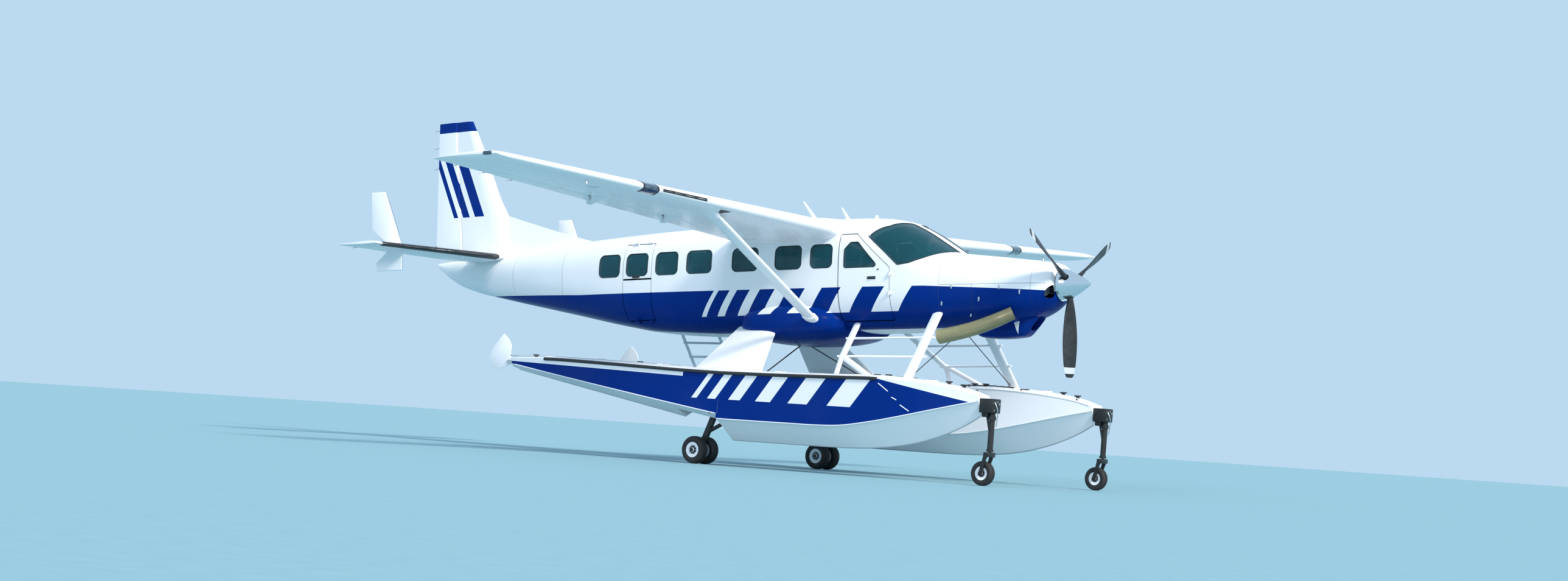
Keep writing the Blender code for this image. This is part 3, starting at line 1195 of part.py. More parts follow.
for number, x in enumerate(SEAT_X):
    back = ((x - 0.10, 0.58), (x, 0.58), (x + 0.11, -0.05), (x, -0.05))
    for side, sign in SIDES:
        y = sign * SEAT_Y
        tag = "%d_%s" % (number, side)
        join(seats, box("seat_pan_" + tag, (x, y - SEAT_HALF, CABIN_FLOOR_Z + 0.02),
                        (x + 0.48, y + SEAT_HALF, 0.0),
                        airframe, cutters))
        join(seats, prism("seat_back_" + tag, back, y - SEAT_HALF + 0.01, y + SEAT_HALF - 0.01, airframe,
                          cutters))
finish(seats, TAN, 0.7, 0.0)
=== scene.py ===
import json
from math import atan2, ceil, cos, pi, radians, sin, sqrt, tan

import bmesh
import bpy
from mathutils import Matrix, Vector


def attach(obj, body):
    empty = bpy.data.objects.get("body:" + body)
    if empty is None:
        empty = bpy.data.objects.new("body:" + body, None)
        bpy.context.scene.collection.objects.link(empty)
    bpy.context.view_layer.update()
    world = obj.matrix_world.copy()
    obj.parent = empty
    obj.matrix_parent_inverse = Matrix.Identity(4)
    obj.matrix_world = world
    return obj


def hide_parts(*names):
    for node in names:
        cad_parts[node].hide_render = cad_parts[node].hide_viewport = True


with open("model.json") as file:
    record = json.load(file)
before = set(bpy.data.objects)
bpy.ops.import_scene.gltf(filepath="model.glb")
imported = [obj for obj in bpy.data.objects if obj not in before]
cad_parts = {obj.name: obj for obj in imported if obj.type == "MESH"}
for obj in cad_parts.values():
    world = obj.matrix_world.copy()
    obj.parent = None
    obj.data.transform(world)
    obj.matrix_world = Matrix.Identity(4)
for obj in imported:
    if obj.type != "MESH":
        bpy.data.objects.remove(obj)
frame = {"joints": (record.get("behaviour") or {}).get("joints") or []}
bpy.context.scene.view_settings.view_transform = "Standard"
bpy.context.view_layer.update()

# Studio: a pale floor under a pale sky and wide soft lights, with the
# camera where the photographer's aircraft flew, low and ahead of the starboard wing.
CAMERA_AT = Vector((26.794, -35.816, 0.679))
CAMERA_WAY = Vector((-0.5837, 0.8106, 0.0465))
CAMERA_UP = Vector((-0.0268, -0.0765, 0.9967))
SENSOR_MM = 36.0
LENS_MM = 65.60
FLOOR_HALF = 140.0
SKY_COLOUR = (0.57, 0.80, 1.0)
SKY_POWER = 0.87
KEY_LIGHT = ((24, -7, 19), 3.5, (1.0, 0.94, 0.86))
FILL_LIGHT = ((4, -26, 9), 0.62, (1.0, 0.92, 1.0))
LIGHT_SPREAD = 0.20

camera = bpy.data.objects.new("camera", bpy.data.cameras.new("camera"))
backward = -CAMERA_WAY.normalized()
right = CAMERA_UP.cross(backward).normalized()
upward = backward.cross(right)
camera.matrix_world = Matrix.Translation(CAMERA_AT) @ Matrix((right, upward, backward)).transposed().to_4x4()
camera.data.sensor_width = SENSOR_MM
camera.data.lens = LENS_MM
camera.data.clip_end = 500
bpy.context.scene.collection.objects.link(camera)
bpy.context.scene.camera = camera

for name, (place, power, tint) in (("key_light", KEY_LIGHT), ("fill_light", FILL_LIGHT)):
    lamp = bpy.data.objects.new(name, bpy.data.lights.new(name, "SUN"))
    lamp.location = place
    lamp.rotation_euler = (-Vector(place)).to_track_quat("-Z", "Y").to_euler()
    lamp.data.energy = power
    lamp.data.color = tint
    lamp.data.angle = LIGHT_SPREAD
    bpy.context.scene.collection.objects.link(lamp)

world = bpy.data.worlds.new("pale_sky")
world.use_nodes = True
world.node_tree.nodes["Background"].inputs["Color"].default_value = (*SKY_COLOUR, 1)
world.node_tree.nodes["Background"].inputs["Strength"].default_value = SKY_POWER
bpy.context.scene.world = world


def new_material(name):
    """An empty node material and its shader."""
    material = bpy.data.materials.new(name)
    material.use_nodes = True
    return material, material.node_tree, material.node_tree.nodes["Principled BSDF"]


def add_node(tree, kind, inputs=(), **settings):
    """A shader node, with its settings and its inputs: a socket is linked, a value is set."""
    made = tree.nodes.new("ShaderNode" + kind)
    for key, value in settings.items():
        setattr(made, key, value)
    for key, value in dict(inputs).items():
        if isinstance(value, bpy.types.NodeSocket):
            tree.links.new(value, made.inputs[key])
        else:
            made.inputs[key].default_value = value
    return made


def sums(tree, operation, *values):
    """A Math node on sockets or numbers."""
    return add_node(tree, "Math", enumerate(values), operation=operation).outputs[0]


def mixed(tree, share, low, high):
    """A colour between two colours or colour sockets."""
    colours = {6: low if isinstance(low, bpy.types.NodeSocket) else (*low, 1),
               7: high if isinstance(high, bpy.types.NodeSocket) else (*high, 1)}
    return add_node(tree, "Mix", {0: share, **colours}, data_type="RGBA").outputs[2]


def noise(tree, vector, scale, detail=3.0):
    return add_node(tree, "TexNoise", {"Vector": vector, "Scale": scale, "Detail": detail}).outputs[0]


def ramp(tree, value, low, high, to_low=0.0, to_high=1.0):
    """A value's range mapped to another, and held at its ends."""
    return add_node(tree, "MapRange", {0: value, 1: low, 2: high, 3: to_low, 4: to_high}).outputs[0]


def bumped(tree, shader, height, strength, distance):
    made = add_node(tree, "Bump", {"Height": height, "Strength": strength, "Distance": distance})
    tree.links.new(made.outputs[0], shader.inputs["Normal"])


def object_point(tree):
    return add_node(tree, "TexCoord").outputs["Object"]


floor_paint, tree, shader = new_material("studio_floor")
speckle = noise(tree, object_point(tree), 6.0)
tree.links.new(mixed(tree, ramp(tree, speckle, 0.35, 0.65), (0.23, 0.41, 0.47), (0.25, 0.43, 0.49)),
               shader.inputs["Base Color"])
shader.inputs["Roughness"].default_value = 0.75
floor_mesh = bpy.data.meshes.new("studio_floor")
floor_mesh.from_pydata([(x * FLOOR_HALF, y * FLOOR_HALF, -0.0005) for x, y in ((-1, -1), (1, -1), (1, 1),
        (-1, 1))], [], [(0, 1, 2, 3)])
floor_mesh.materials.append(floor_paint)
floor = bpy.data.objects.new("studio_floor", floor_mesh)
bpy.context.scene.collection.objects.link(floor)

# Fuselage skin: the cabin is a riveted aluminium barrel with a near square section, which
# narrows to the tail behind the doors and carries the cowl in front of the windshield.
# Its own frame has x forward from the wing's roots and z up from the thrust line.
HUB_X = 6.0
THRUST_Z = 0.030
joints = {joint["name"]: joint for joint in frame["joints"]}
spin = joints["propeller_spin"]
NOSE_UP = atan2(spin["axis"][2], spin["axis"][0])
AIR = (Matrix.Translation(spin["pos_m"]) @ Matrix.Rotation(-NOSE_UP, 4, "Y")
       @ Matrix.Translation((-HUB_X, 0, -THRUST_Z)))
LEVEL = Matrix.Translation(AIR @ Vector((0, 0, 0)))
SIDES = (("left", 1), ("right", -1))

# x, top, bottom, half width, squareness
CABIN_STATIONS = ((4.20, 0.545, -0.600, 0.700, 2.60), (3.95, 0.700, -0.605, 0.740, 2.65),
                  (3.70, 0.850, -0.605, 0.775, 2.75), (3.45, 0.975, -0.605, 0.800, 2.85),
                  (3.20, 1.070, -0.605, 0.820, 2.95), (2.90, 1.110, -0.605, 0.835, 3.10),
                  (2.40, 1.128, -0.605, 0.845, 3.20), (1.00, 1.128, -0.605, 0.845, 3.20),
                  (-0.20, 1.105, -0.590, 0.840, 3.15), (-1.20, 1.075, -0.530, 0.820, 3.05),
                  (-2.00, 1.040, -0.405, 0.780, 2.90), (-2.60, 1.010, -0.290, 0.725, 2.75),
                  (-3.00, 0.985, -0.210, 0.680, 2.65))
WALL = 0.045
SKIN_POINTS = 96
SKIN_STEP = 0.09
WHITE = (0.86, 0.86, 0.88)
BLUE = (0.0, 0.024, 0.200)


def station_at(stations, x):
    """The station at any x, on a smooth curve through the ones that are listed."""
    for i in range(len(stations) - 1):
        a, b = stations[i], stations[i + 1]
        if min(a[0], b[0]) - 1e-6 <= x <= max(a[0], b[0]) + 1e-6:
            before = stations[max(i - 1, 0)]
            after = stations[min(i + 2, len(stations) - 1)]
            t = (x - a[0]) / (b[0] - a[0])
            span = b[0] - a[0]
            values = []
            for k in range(1, len(a)):
                slope_a = (b[k] - before[k]) / (b[0] - before[0]) * span
                slope_b = (after[k] - a[k]) / (after[0] - a[0]) * span
                values.append((2 * t ** 3 - 3 * t ** 2 + 1) * a[k] + (t ** 3 - 2 * t ** 2 + t) * slope_a
                              + (3 * t ** 2 - 2 * t ** 3) * b[k] + (t ** 3 - t ** 2) * slope_b)
            return (x, *values)
    raise ValueError("no station at %f" % x)


def barrel_ring(station, grow=0.0, count=SKIN_POINTS):
    """One rounded section of the fuselage, grown outward by a distance."""
    x, top, bottom, half, square = station
    ring = []
    for i in range(count):
        turn = 2 * pi * (i + 0.5) / count
        c, s = cos(turn), sin(turn)
        y = (half + grow) * abs(c) ** (2 / square) * (1 if c > 0 else -1)
        z = ((top - bottom) / 2 + grow) * abs(s) ** (2 / square) * (1 if s > 0 else -1)
        ring.append(Vector((x, y, (top + bottom) / 2 + z)))
    return ring


def air_point(tree):
    """The place on the airframe: the object's point turned back into the fuselage's frame."""
    back = AIR.inverted()
    turned = add_node(tree, "Mapping", {"Vector": object_point(tree), "Location": back.to_translation(),
                                        "Rotation": tuple(back.to_euler())})
    return add_node(tree, "SeparateXYZ", {0: turned.outputs[0]}).outputs


def slashes(tree, along, bars):
    """One inside any of the bars, each a centre and a width along a slanting coordinate."""
    inside = 0.0
    for centre, width in bars:
        inside = sums(tree, "MAXIMUM", inside, sums(tree, "COMPARE", along, centre, width / 2))
    return inside


def paint_finish(tree, shader, colour):
    """Two-pack gloss over thin sheet: faint waves between the frames, fine dust and a clear coat."""
    point = object_point(tree)
    waves = noise(tree, point, 2.6, 1.5)
    dust = noise(tree, point, 21.0, 5.0)
    grime = ramp(tree, noise(tree, point, 0.9, 6.0), 0.48, 0.78, 0.0, 0.03)
    tree.links.new(mixed(tree, grime, colour, (0.20, 0.22, 0.24)), shader.inputs["Base Color"])
    tree.links.new(ramp(tree, dust, 0.3, 0.7, 0.24, 0.30), shader.inputs["Roughness"])
    shader.inputs["Specular IOR Level"].default_value = 0.05
    shader.inputs["Coat Weight"].default_value = 0.03
    shader.inputs["Coat Roughness"].default_value = 0.06
    bumped(tree, shader, waves, 0.04, 0.02)


# White above and deep blue below, with a plain row of slanting white bars in the blue
BAR_LEAN = 0.75
BAR_FOOT_Z = -0.335
HULL_BARS = ((3.52, 0.46), (2.72, 0.38), (2.03, 0.31), (1.44, 0.25), (0.94, 0.19), (0.53, 0.14), (0.20, 0.09))

hull_paint, tree, shader = new_material("hull_paint")
x, y, z = air_point(tree)[:3]
line = sums(tree, "MAXIMUM", sums(tree, "MULTIPLY_ADD", x, -0.00871, 0.0586),
            sums(tree, "MULTIPLY_ADD", x, -0.0387, -0.0194))
line = sums(tree, "MINIMUM", line, sums(tree, "MULTIPLY_ADD", x, -0.0535, 0.236))
below = sums(tree, "LESS_THAN", z, line)
bars = slashes(tree, sums(tree, "MULTIPLY_ADD", z, -BAR_LEAN, x), HULL_BARS)
white_bars = sums(tree, "MULTIPLY", bars, sums(tree, "GREATER_THAN", z, BAR_FOOT_Z))
blue_part = sums(tree, "SUBTRACT", below, sums(tree, "MULTIPLY", below, white_bars))
bottom = sums(tree, "MAXIMUM", -0.575, sums(tree, "MULTIPLY_ADD", x, -0.054, -0.575))
plain = sums(tree, "SUBTRACT", sums(tree, "LESS_THAN", x, 4.195), sums(tree, "COMPARE", x, 1.56, 1.08))
plain = sums(tree, "MULTIPLY", sums(tree, "LESS_THAN", z, bottom), plain)
paint_finish(tree, shader, mixed(tree, sums(tree, "SUBTRACT", blue_part, plain), WHITE, BLUE))

# Cabin shell: the barrel from the firewall to the tail joint, with its windows and doorways
# cut through the wall. The panes are flush acrylic in thin dark seals.
SILL_Z, HEAD_Z, PANE_RADIUS = 0.334, 0.690, 0.085
WINDOW_EDGES = ((-2.149, 0.44), (-0.968, 0.44), (-0.351, 0.487), (0.532, 0.487), (1.341, 0.487),
                (1.995, 0.395))
DOOR_PANE = (-1.571, 0.44)
WINDSHIELD = ((4.17, 0.548), (4.05, 0.500), (3.90, 0.437), (3.70, 0.368), (3.52, 0.343), (3.28, 0.556),
              (2.995, 0.785), (2.985, 1.30), (4.6, 1.30), (4.6, 0.66))
# one pane from above: places along the aircraft and out from its middle
PANE_ABOVE = ((4.6, 0.105), (3.36, 0.105), (3.34, 0.25), (3.30, 0.42), (3.24, 0.565), (3.10, 0.685),
              (2.98, 0.775), (2.90, 0.90), (2.90, 1.2), (4.6, 1.2))
CREW_DOOR = ((2.49, -0.47), (3.40, -0.47), (3.40, 0.311), (2.785, 0.84), (2.49, 0.84))
CREW_PANE = ((2.603, 0.322), (3.205, 0.322), (2.830, 0.705), (2.70, 0.705), (2.603, 0.60))
AIRSTAIR_X, CARGO_X = (-1.645, -1.045), (-1.685, -0.445)
DOOR_FOOT_Z, DOOR_SPLIT_Z, DOOR_TOP_Z = -0.360, 0.285, 0.850
DOOR_GAP = 0.014
CREW_REAR_GAP = 0.024
DOOR_RADIUS = 0.05


def spaced(start, end, step):
    """Evenly spaced values from start to end, both included."""
    count = max(1, ceil(abs(end - start) / step - 1e-6))
    return [start + (end - start) * i / count for i in range(count + 1)]


def new_object(name, mesh):
    made = bpy.data.objects.new(name, mesh)
    bpy.context.scene.collection.objects.link(made)
    return made


def mesh_object(name, points, faces):
    """An object from points and faces, its faces turned outward."""
    mesh = bpy.data.meshes.new(name)
    mesh.from_pydata([tuple(p) for p in points], [], faces)
    shape = bmesh.new()
    shape.from_mesh(mesh)
    bmesh.ops.recalc_face_normals(shape, faces=shape.faces[:])
    shape.to_mesh(mesh)
    shape.free()
    return new_object(name, mesh)


def loft(name, rings):
    """A closed skin through a row of rings, with a cap at both ends."""
    count = len(rings[0])
    faces = [tuple(range(count)), tuple(range((len(rings) - 1) * count, len(rings) * count))]
    for row in range(len(rings) - 1):
        base = row * count
        for i in range(count):
            j = (i + 1) % count
            faces.append((base + i, base + j, base + count + j, base + count + i))
    return mesh_object(name, [p for ring in rings for p in ring], faces)


def barrel(name, stations, x0, x1, grow=0.0, count=SKIN_POINTS, step=SKIN_STEP):
    """The fuselage's closed outer form between two places."""
    return loft(name, [barrel_ring(station_at(stations, x), grow, count) for x in spaced(x0, x1, step)])


def prism(name, outline, y0, y1):
    """An outline in side view, extruded sideways."""
    count = len(outline)
    points = [(x, y, z) for y in (y0, y1) for x, z in outline]
    faces = [tuple(range(count)), tuple(range(count, 2 * count))]
    faces += [(i, (i + 1) % count, count + (i + 1) % count, count + i) for i in range(count)]
    return mesh_object(name, points, faces)


def rounded(corners, radius, steps=6):
    """An outline with each corner rounded by an arc."""
    outline = []
    count = len(corners)
    for i in range(count):
        before, here, after = (Vector(corners[(i + k) % count]) for k in (-1, 0, 1))
        back, ahead = (before - here).normalized(), (after - here).normalized()
        half_turn = back.angle(ahead) / 2
        reach = min(radius / tan(half_turn), (before - here).length * 0.49, (after - here).length * 0.49)
        centre = here + (back + ahead).normalized() * reach / cos(half_turn)
        start, end = here + back * reach - centre, here + ahead * reach - centre
        for k in range(steps + 1):
            outline.append(tuple(centre + start.slerp(end, k / steps) * start.length))
    return outline


def rectangle(x0, x1, z0, z1):
    return ((x0, z0), (x1, z0), (x1, z1), (x0, z1))


def inset(outline, distance):
    """An outline with every edge moved inward by a distance, or outward by a negative one."""
    area = sum(a[0] * b[1] - b[0] * a[1] for a, b in zip(outline, outline[1:] + outline[:1]))
    sign = 1 if area > 0 else -1
    result = []
    count = len(outline)
    for i in range(count):
        before, here, after = (Vector(outline[(i + k) % count]) for k in (-1, 0, 1))
        d0, d1 = (here - before).normalized(), (after - here).normalized()
        n0, n1 = Vector((-d0.y, d0.x)) * sign, Vector((-d1.y, d1.x)) * sign
        result.append(tuple(here + (n0 + n1) / (1 + n0.dot(n1)) * distance))
    return result


def joined(name, objects):
    """Several objects made one."""
    mesh = bpy.data.meshes.new(name)
    shape = bmesh.new()
    for each in objects:
        each.data.transform(each.matrix_world)
        shape.from_mesh(each.data)
        bpy.data.objects.remove(each)
    shape.to_mesh(mesh)
    shape.free()
    return new_object(name, mesh)


def shaped(piece, operation, *tools):
    """Cut, join or trim a piece with tools, which are then deleted."""
    for tool in tools:
        step = piece.modifiers.new("step", "BOOLEAN")
        step.operation = operation
        step.object = tool
        step.solver = "EXACT"
    bpy.context.view_layer.update()
    evaluated = piece.evaluated_get(bpy.context.evaluated_depsgraph_get())
    mesh = bpy.data.meshes.new_from_object(evaluated)
    piece.modifiers.clear()
    piece.data = mesh
    for tool in tools:
        bpy.data.objects.remove(tool)
    return piece


def dressed(piece, material, body, slot, *nodes, place=AIR, sharp=32):
    """Put a finished piece in the aircraft: its place, shading, material and body; the slot is not used."""
    piece.data.transform(place)
    piece.data.materials.clear()
    piece.data.materials.append(material)
    piece.data.shade_smooth()
    piece.data.set_sharp_from_angle(angle=radians(sharp))
    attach(piece, body)
    if nodes:
        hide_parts(*nodes)
    return piece


def pane_outline(x, width):
    return rounded(rectangle(x, x + width, SILL_Z, HEAD_Z), PANE_RADIUS)


def windshield_tool(name, shrink):
    """The room of the two windshield panes: their outline in side view, and the one from above."""
    side = prism(name, inset(rounded(WINDSHIELD, 0.035), shrink), -1.2, 1.2)
    above = []
    for sign in (1, -1):
        outline = inset(rounded(PANE_ABOVE, 0.04), shrink)
        above.append(loft("above", [[Vector((x, sign * y, z)) for x, y in outline] for z in (0.0, 1.4)]))
    return shaped(side, "INTERSECT", joined("above", above))


crew_door_outline = rounded(CREW_DOOR, DOOR_RADIUS)
crew_pane_outline = rounded(CREW_PANE, 0.035)
airstair_low = rectangle(*AIRSTAIR_X, DOOR_FOOT_Z, DOOR_SPLIT_Z)
airstair_high = rectangle(*AIRSTAIR_X, DOOR_SPLIT_Z, DOOR_TOP_Z)
cargo_low = rectangle(*CARGO_X, DOOR_FOOT_Z, DOOR_SPLIT_Z)
cargo_high = rectangle(*CARGO_X, DOOR_SPLIT_Z, DOOR_TOP_Z)

cabin = barrel("cabin_shell_skin", CABIN_STATIONS, 4.20, -3.00)
hollow = barrel("cabin_hollow", CABIN_STATIONS, 4.20 - WALL, -3.00 + WALL, -WALL, 48, 0.2)
side_cuts = [prism("pane_cut", pane_outline(*edge), -1.2, 0.0 if edge[0] == -0.968 else 1.2)
             for edge in WINDOW_EDGES]
door_cuts = [prism("crew_cut_left", crew_door_outline, 0.3, 1.2),
             prism("crew_cut_right", crew_door_outline, -0.3, -1.2),
             prism("airstair_cut", rectangle(*AIRSTAIR_X, DOOR_FOOT_Z, DOOR_TOP_Z), -0.3, -1.2),
             prism("cargo_cut", rectangle(*CARGO_X, DOOR_FOOT_Z, DOOR_TOP_Z), 0.3, 1.2),
             windshield_tool("windshield_cut", 0.0)]
shaped(cabin, "DIFFERENCE", hollow, joined("openings", side_cuts + door_cuts))
dressed(cabin, hull_paint, "airframe", "white_paint", "cabin_shell")


def grained(name, scale, detail, dark, light, roughness, bump=None, sockets=()):
    """A finish with a grain in its colour, and in its roughness where that is a pair."""
    material, tree, shader = new_material(name)
    grain = noise(tree, object_point(tree), scale, detail)
    tree.links.new(mixed(tree, grain, dark, light), shader.inputs["Base Color"])
    if isinstance(roughness, tuple):
        tree.links.new(ramp(tree, grain, 0.3, 0.7, *roughness), shader.inputs["Roughness"])
    else:
        shader.inputs["Roughness"].default_value = roughness
    for socket, value in dict(sockets).items():
        shader.inputs[socket].default_value = value
    if bump:
        bumped(tree, shader, grain, *bump)
    return material


glass = grained("tinted_acrylic", 5.0, 4.0, (0.000, 0.052, 0.072), (0.001, 0.085, 0.110), (0.02, 0.07),
                sockets={"Alpha": 0.62})

seal_rubber = grained("window_seal", 160.0, 4.0, (0.010, 0.013, 0.016), (0.030, 0.035, 0.040), 0.6,
                      (0.2, 0.001))


def tube(name, points, radius, closed=False, resolution=2):
    """A round wire or pipe through points, with filled ends."""
    line = bpy.data.curves.new(name, "CURVE")
    line.dimensions = "3D"
    line.bevel_depth = radius
    line.bevel_resolution = resolution
    line.use_fill_caps = not closed
    spline = line.splines.new("POLY")
    spline.points.add(len(points) - 1)
    for spot, point in zip(spline.points, points):
        spot.co = (*point, 1)
    spline.use_cyclic_u = closed
    curve = new_object(name + "_line", line)
    mesh = bpy.data.meshes.new_from_object(curve)
    bpy.data.objects.remove(curve)
    shape = bmesh.new()
    shape.from_mesh(mesh)
    bmesh.ops.remove_doubles(shape, verts=shape.verts, dist=0.00002)
    shape.to_mesh(mesh)
    shape.free()
    return new_object(name, mesh)


def half_width(stations, x, z):
    """The fuselage's half width at a place in side view."""
    _, top, bottom, half, square = station_at(stations, x)
    share = min(abs(z - (top + bottom) / 2) / ((top - bottom) / 2), 1.0)
    return half * (1 - share ** square) ** (1 / square)


def on_skin(outline, sign, stations, proud, step=0.06, closed=True):
    """An outline in side view, laid on the fuselage's skin."""
    points = []
    pairs = list(zip(outline, outline[1:] + outline[:1] if closed else outline[1:]))
    for a, b in pairs:
        run = max(1, ceil((Vector(b) - Vector(a)).length / step))
        for k in range(run):
            x, z = (Vector(a).lerp(Vector(b), k / run))
            points.append(Vector((x, sign * (half_width(stations, x, z) + proud), z)))
    if not closed:
        x, z = outline[-1]
        points.append(Vector((x, sign * (half_width(stations, x, z) + proud), z)))
    return points


def barrel_wall(name, stations, x0, x1, outer, inner, count=SKIN_POINTS, step=SKIN_STEP):
    """The fuselage's wall between two depths, open at its ends."""
    places = spaced(x0, x1, step)
    points = []
    for grow in (outer, inner):
        for x in places:
            points += barrel_ring(station_at(stations, x), grow, count)
    layer = len(places) * count
    faces = []
    for row in range(len(places) - 1):
        for i in range(count):
            j = (i + 1) % count
            base = row * count
            faces.append((base + i, base + j, base + count + j, base + count + i))
            faces.append((layer + base + i, layer + base + count + i, layer + base + count + j,
                          layer + base + j))
    for base in (0, layer - count):
        for i in range(count):
            j = (i + 1) % count
            faces.append((base + i, base + j, layer + base + j, layer + base + i))
    return mesh_object(name, points, faces)


def pane(name, outline, y0, y1, depth=(-0.006, -0.014)):
    """A flush pane bent to the skin."""
    places = [x for x, z in outline]
    sheet = barrel_wall(name, CABIN_STATIONS, max(places) + 0.04, min(places) - 0.04, *depth, step=0.05)
    return shaped(sheet, "INTERSECT", prism("edge", inset(outline, 0.0015), y0, y1))


fixed_panes, fixed_seals = [], []
for side, sign in SIDES:
    for x, width in WINDOW_EDGES:
        if side == "left" and x == -0.968:
            continue
        outline = pane_outline(x, width)
        fixed_panes.append(pane("cabin_pane", outline, sign * 0.3, sign * 1.2))
        fixed_seals.append(tube("cabin_seal", on_skin(outline, sign, CABIN_STATIONS, -0.004), 0.0075, True))
dressed(joined("cabin_panes", fixed_panes), glass, "airframe", "tinted_glass")
dressed(joined("cabin_pane_seals", fixed_seals), seal_rubber, "airframe", "black_metal")

# Windshield: two curved acrylic panes that meet at the roof's painted centre post, each in
# a thin dark seal that follows its edge round the skin.
front_glass = barrel_wall("windshield_glass", CABIN_STATIONS, 4.20, 2.80, -0.002, -0.014)
shaped(front_glass, "INTERSECT", windshield_tool("edge", 0.0015))
dressed(front_glass, glass, "airframe", "tinted_glass", "windshield")


def roof_height(x, y):
    """The skin's height above a place on the cabin's upper half."""
    _, top, bottom, half, square = station_at(CABIN_STATIONS, x)
    middle = (top + bottom) / 2
    return middle + (top - middle) * max(1 - (abs(y) / half) ** square, 0) ** (1 / square)


side_edge = [p for p in rounded(WINDSHIELD, 0.035) if p[1] < 0.82 and p[0] < 4.18]
top_edge = [p for p in rounded(PANE_ABOVE, 0.04) if p[0] < 4.19 and p[1] < 0.772 and p[0] > 2.98]
seals = []
for side, sign in SIDES:
    seals.append(tube("windshield_seal", on_skin(side_edge, sign, CABIN_STATIONS, -0.002, 0.04, False),
                      0.008))
    line = []
    for a, b in zip([Vector((4.19, 0.105))] + [Vector(p) for p in top_edge], [Vector(p) for p in top_edge]):
        run = max(1, ceil((b - a).length / 0.04))
        for k in range(run):
            x, y = a.lerp(b, k / run)
            line.append(Vector((x, sign * y, roof_height(x, y) - 0.002)))
    seals.append(tube("windshield_seal", line, 0.008))
dressed(joined("windshield_seals", seals), seal_rubber, "airframe", "black_metal")

# Doors: two crew doors, the starboard airstair in two leaves and the wide port cargo door.
# Each leaf is a piece of the barrel's wall, hung on outside hinges, with a seal round its hole.
HINGE_STAND = 0.026
HINGE_LUG = 0.016
LUG_GAP = 0.005


def leaf(name, outline, sign, pane_outlines=()):
    """A door leaf: the wall inside an outline, with its window holes."""
    places = [x for x, z in outline]
    made = barrel_wall(name, CABIN_STATIONS, max(places) + 0.05, max(min(places) - 0.05, -3.0), 0.0, -WALL,
                       96, 0.06)
    shaped(made, "INTERSECT", prism("edge", outline, sign * 0.3, sign * 1.2))
    for hole in pane_outlines:
        shaped(made, "DIFFERENCE", prism("hole", hole, sign * 0.2, sign * 1.3))
    return made


def hinge(name, at, axis, shell_root, door_root, door_body):
    """An outside hinge: a tongue and pin that stay, and two ears that go with the door."""
    at, axis = Vector(at), Vector(axis)
    step = HINGE_LUG + LUG_GAP
    still, moving = [], []
    for root, shift, group in ((shell_root, 0, still), (door_root, step, moving), (door_root, -step, moving)):
        spot, end = at + axis * shift, Vector(root) + axis * shift
        way = (end - spot).normalized()
        lift, half = axis.cross(way) * 0.009, axis * HINGE_LUG / 2
        ring = [spot + half + lift, spot - half + lift, spot - half - lift, spot + half - lift]
        group.append(loft("lug", [ring, [p + end - spot for p in ring]]))
        group.append(tube("eye", (spot - half, spot + half), 0.0125))
    reach = axis * (step + HINGE_LUG / 2 + 0.003)
    still.append(tube("pin", (at - reach, at + reach), 0.006))
    dressed(joined(name + "_tongue", still), hull_paint, "airframe", "white_paint")
    dressed(joined(name + "_ears", moving), hull_paint, door_body, "white_paint")


door_seals = []
for side, sign in SIDES:
    outline = [(max(x, CREW_DOOR[0][0] + CREW_REAR_GAP), z) for x, z in inset(crew_door_outline, DOOR_GAP)]
    door = leaf("crew_door_panel_" + side, outline, sign, (crew_pane_outline,))
    body = "crew_door_" + side
    dressed(door, hull_paint, body, "white_paint", body)
    dressed(pane("crew_pane_" + side, crew_pane_outline, sign * 0.3, sign * 1.2), glass, body, "tinted_glass",
            "crew_window_" + side)
    dressed(tube("crew_pane_seal_" + side, on_skin(crew_pane_outline, sign, CABIN_STATIONS, -0.004), 0.008,
                 True), seal_rubber, body, "black_metal")
    door_seals.append(tube("door_seal", on_skin(crew_door_outline, sign, CABIN_STATIONS, -0.034), 0.004,
                           True))
    hinge_x = CREW_DOOR[1][0] + 0.010
    hinge_y = half_width(CABIN_STATIONS, hinge_x, 0.22) + HINGE_STAND
    for number, z in enumerate((-0.08, 0.20)):
        skin = half_width(CABIN_STATIONS, hinge_x, z) - 0.024
        hinge("%s_hinge_%d" % (body, number), (hinge_x, sign * hinge_y, z), (0, 0, 1),
              (hinge_x + 0.045, sign * skin, z), (hinge_x - 0.060, sign * skin, z), body)

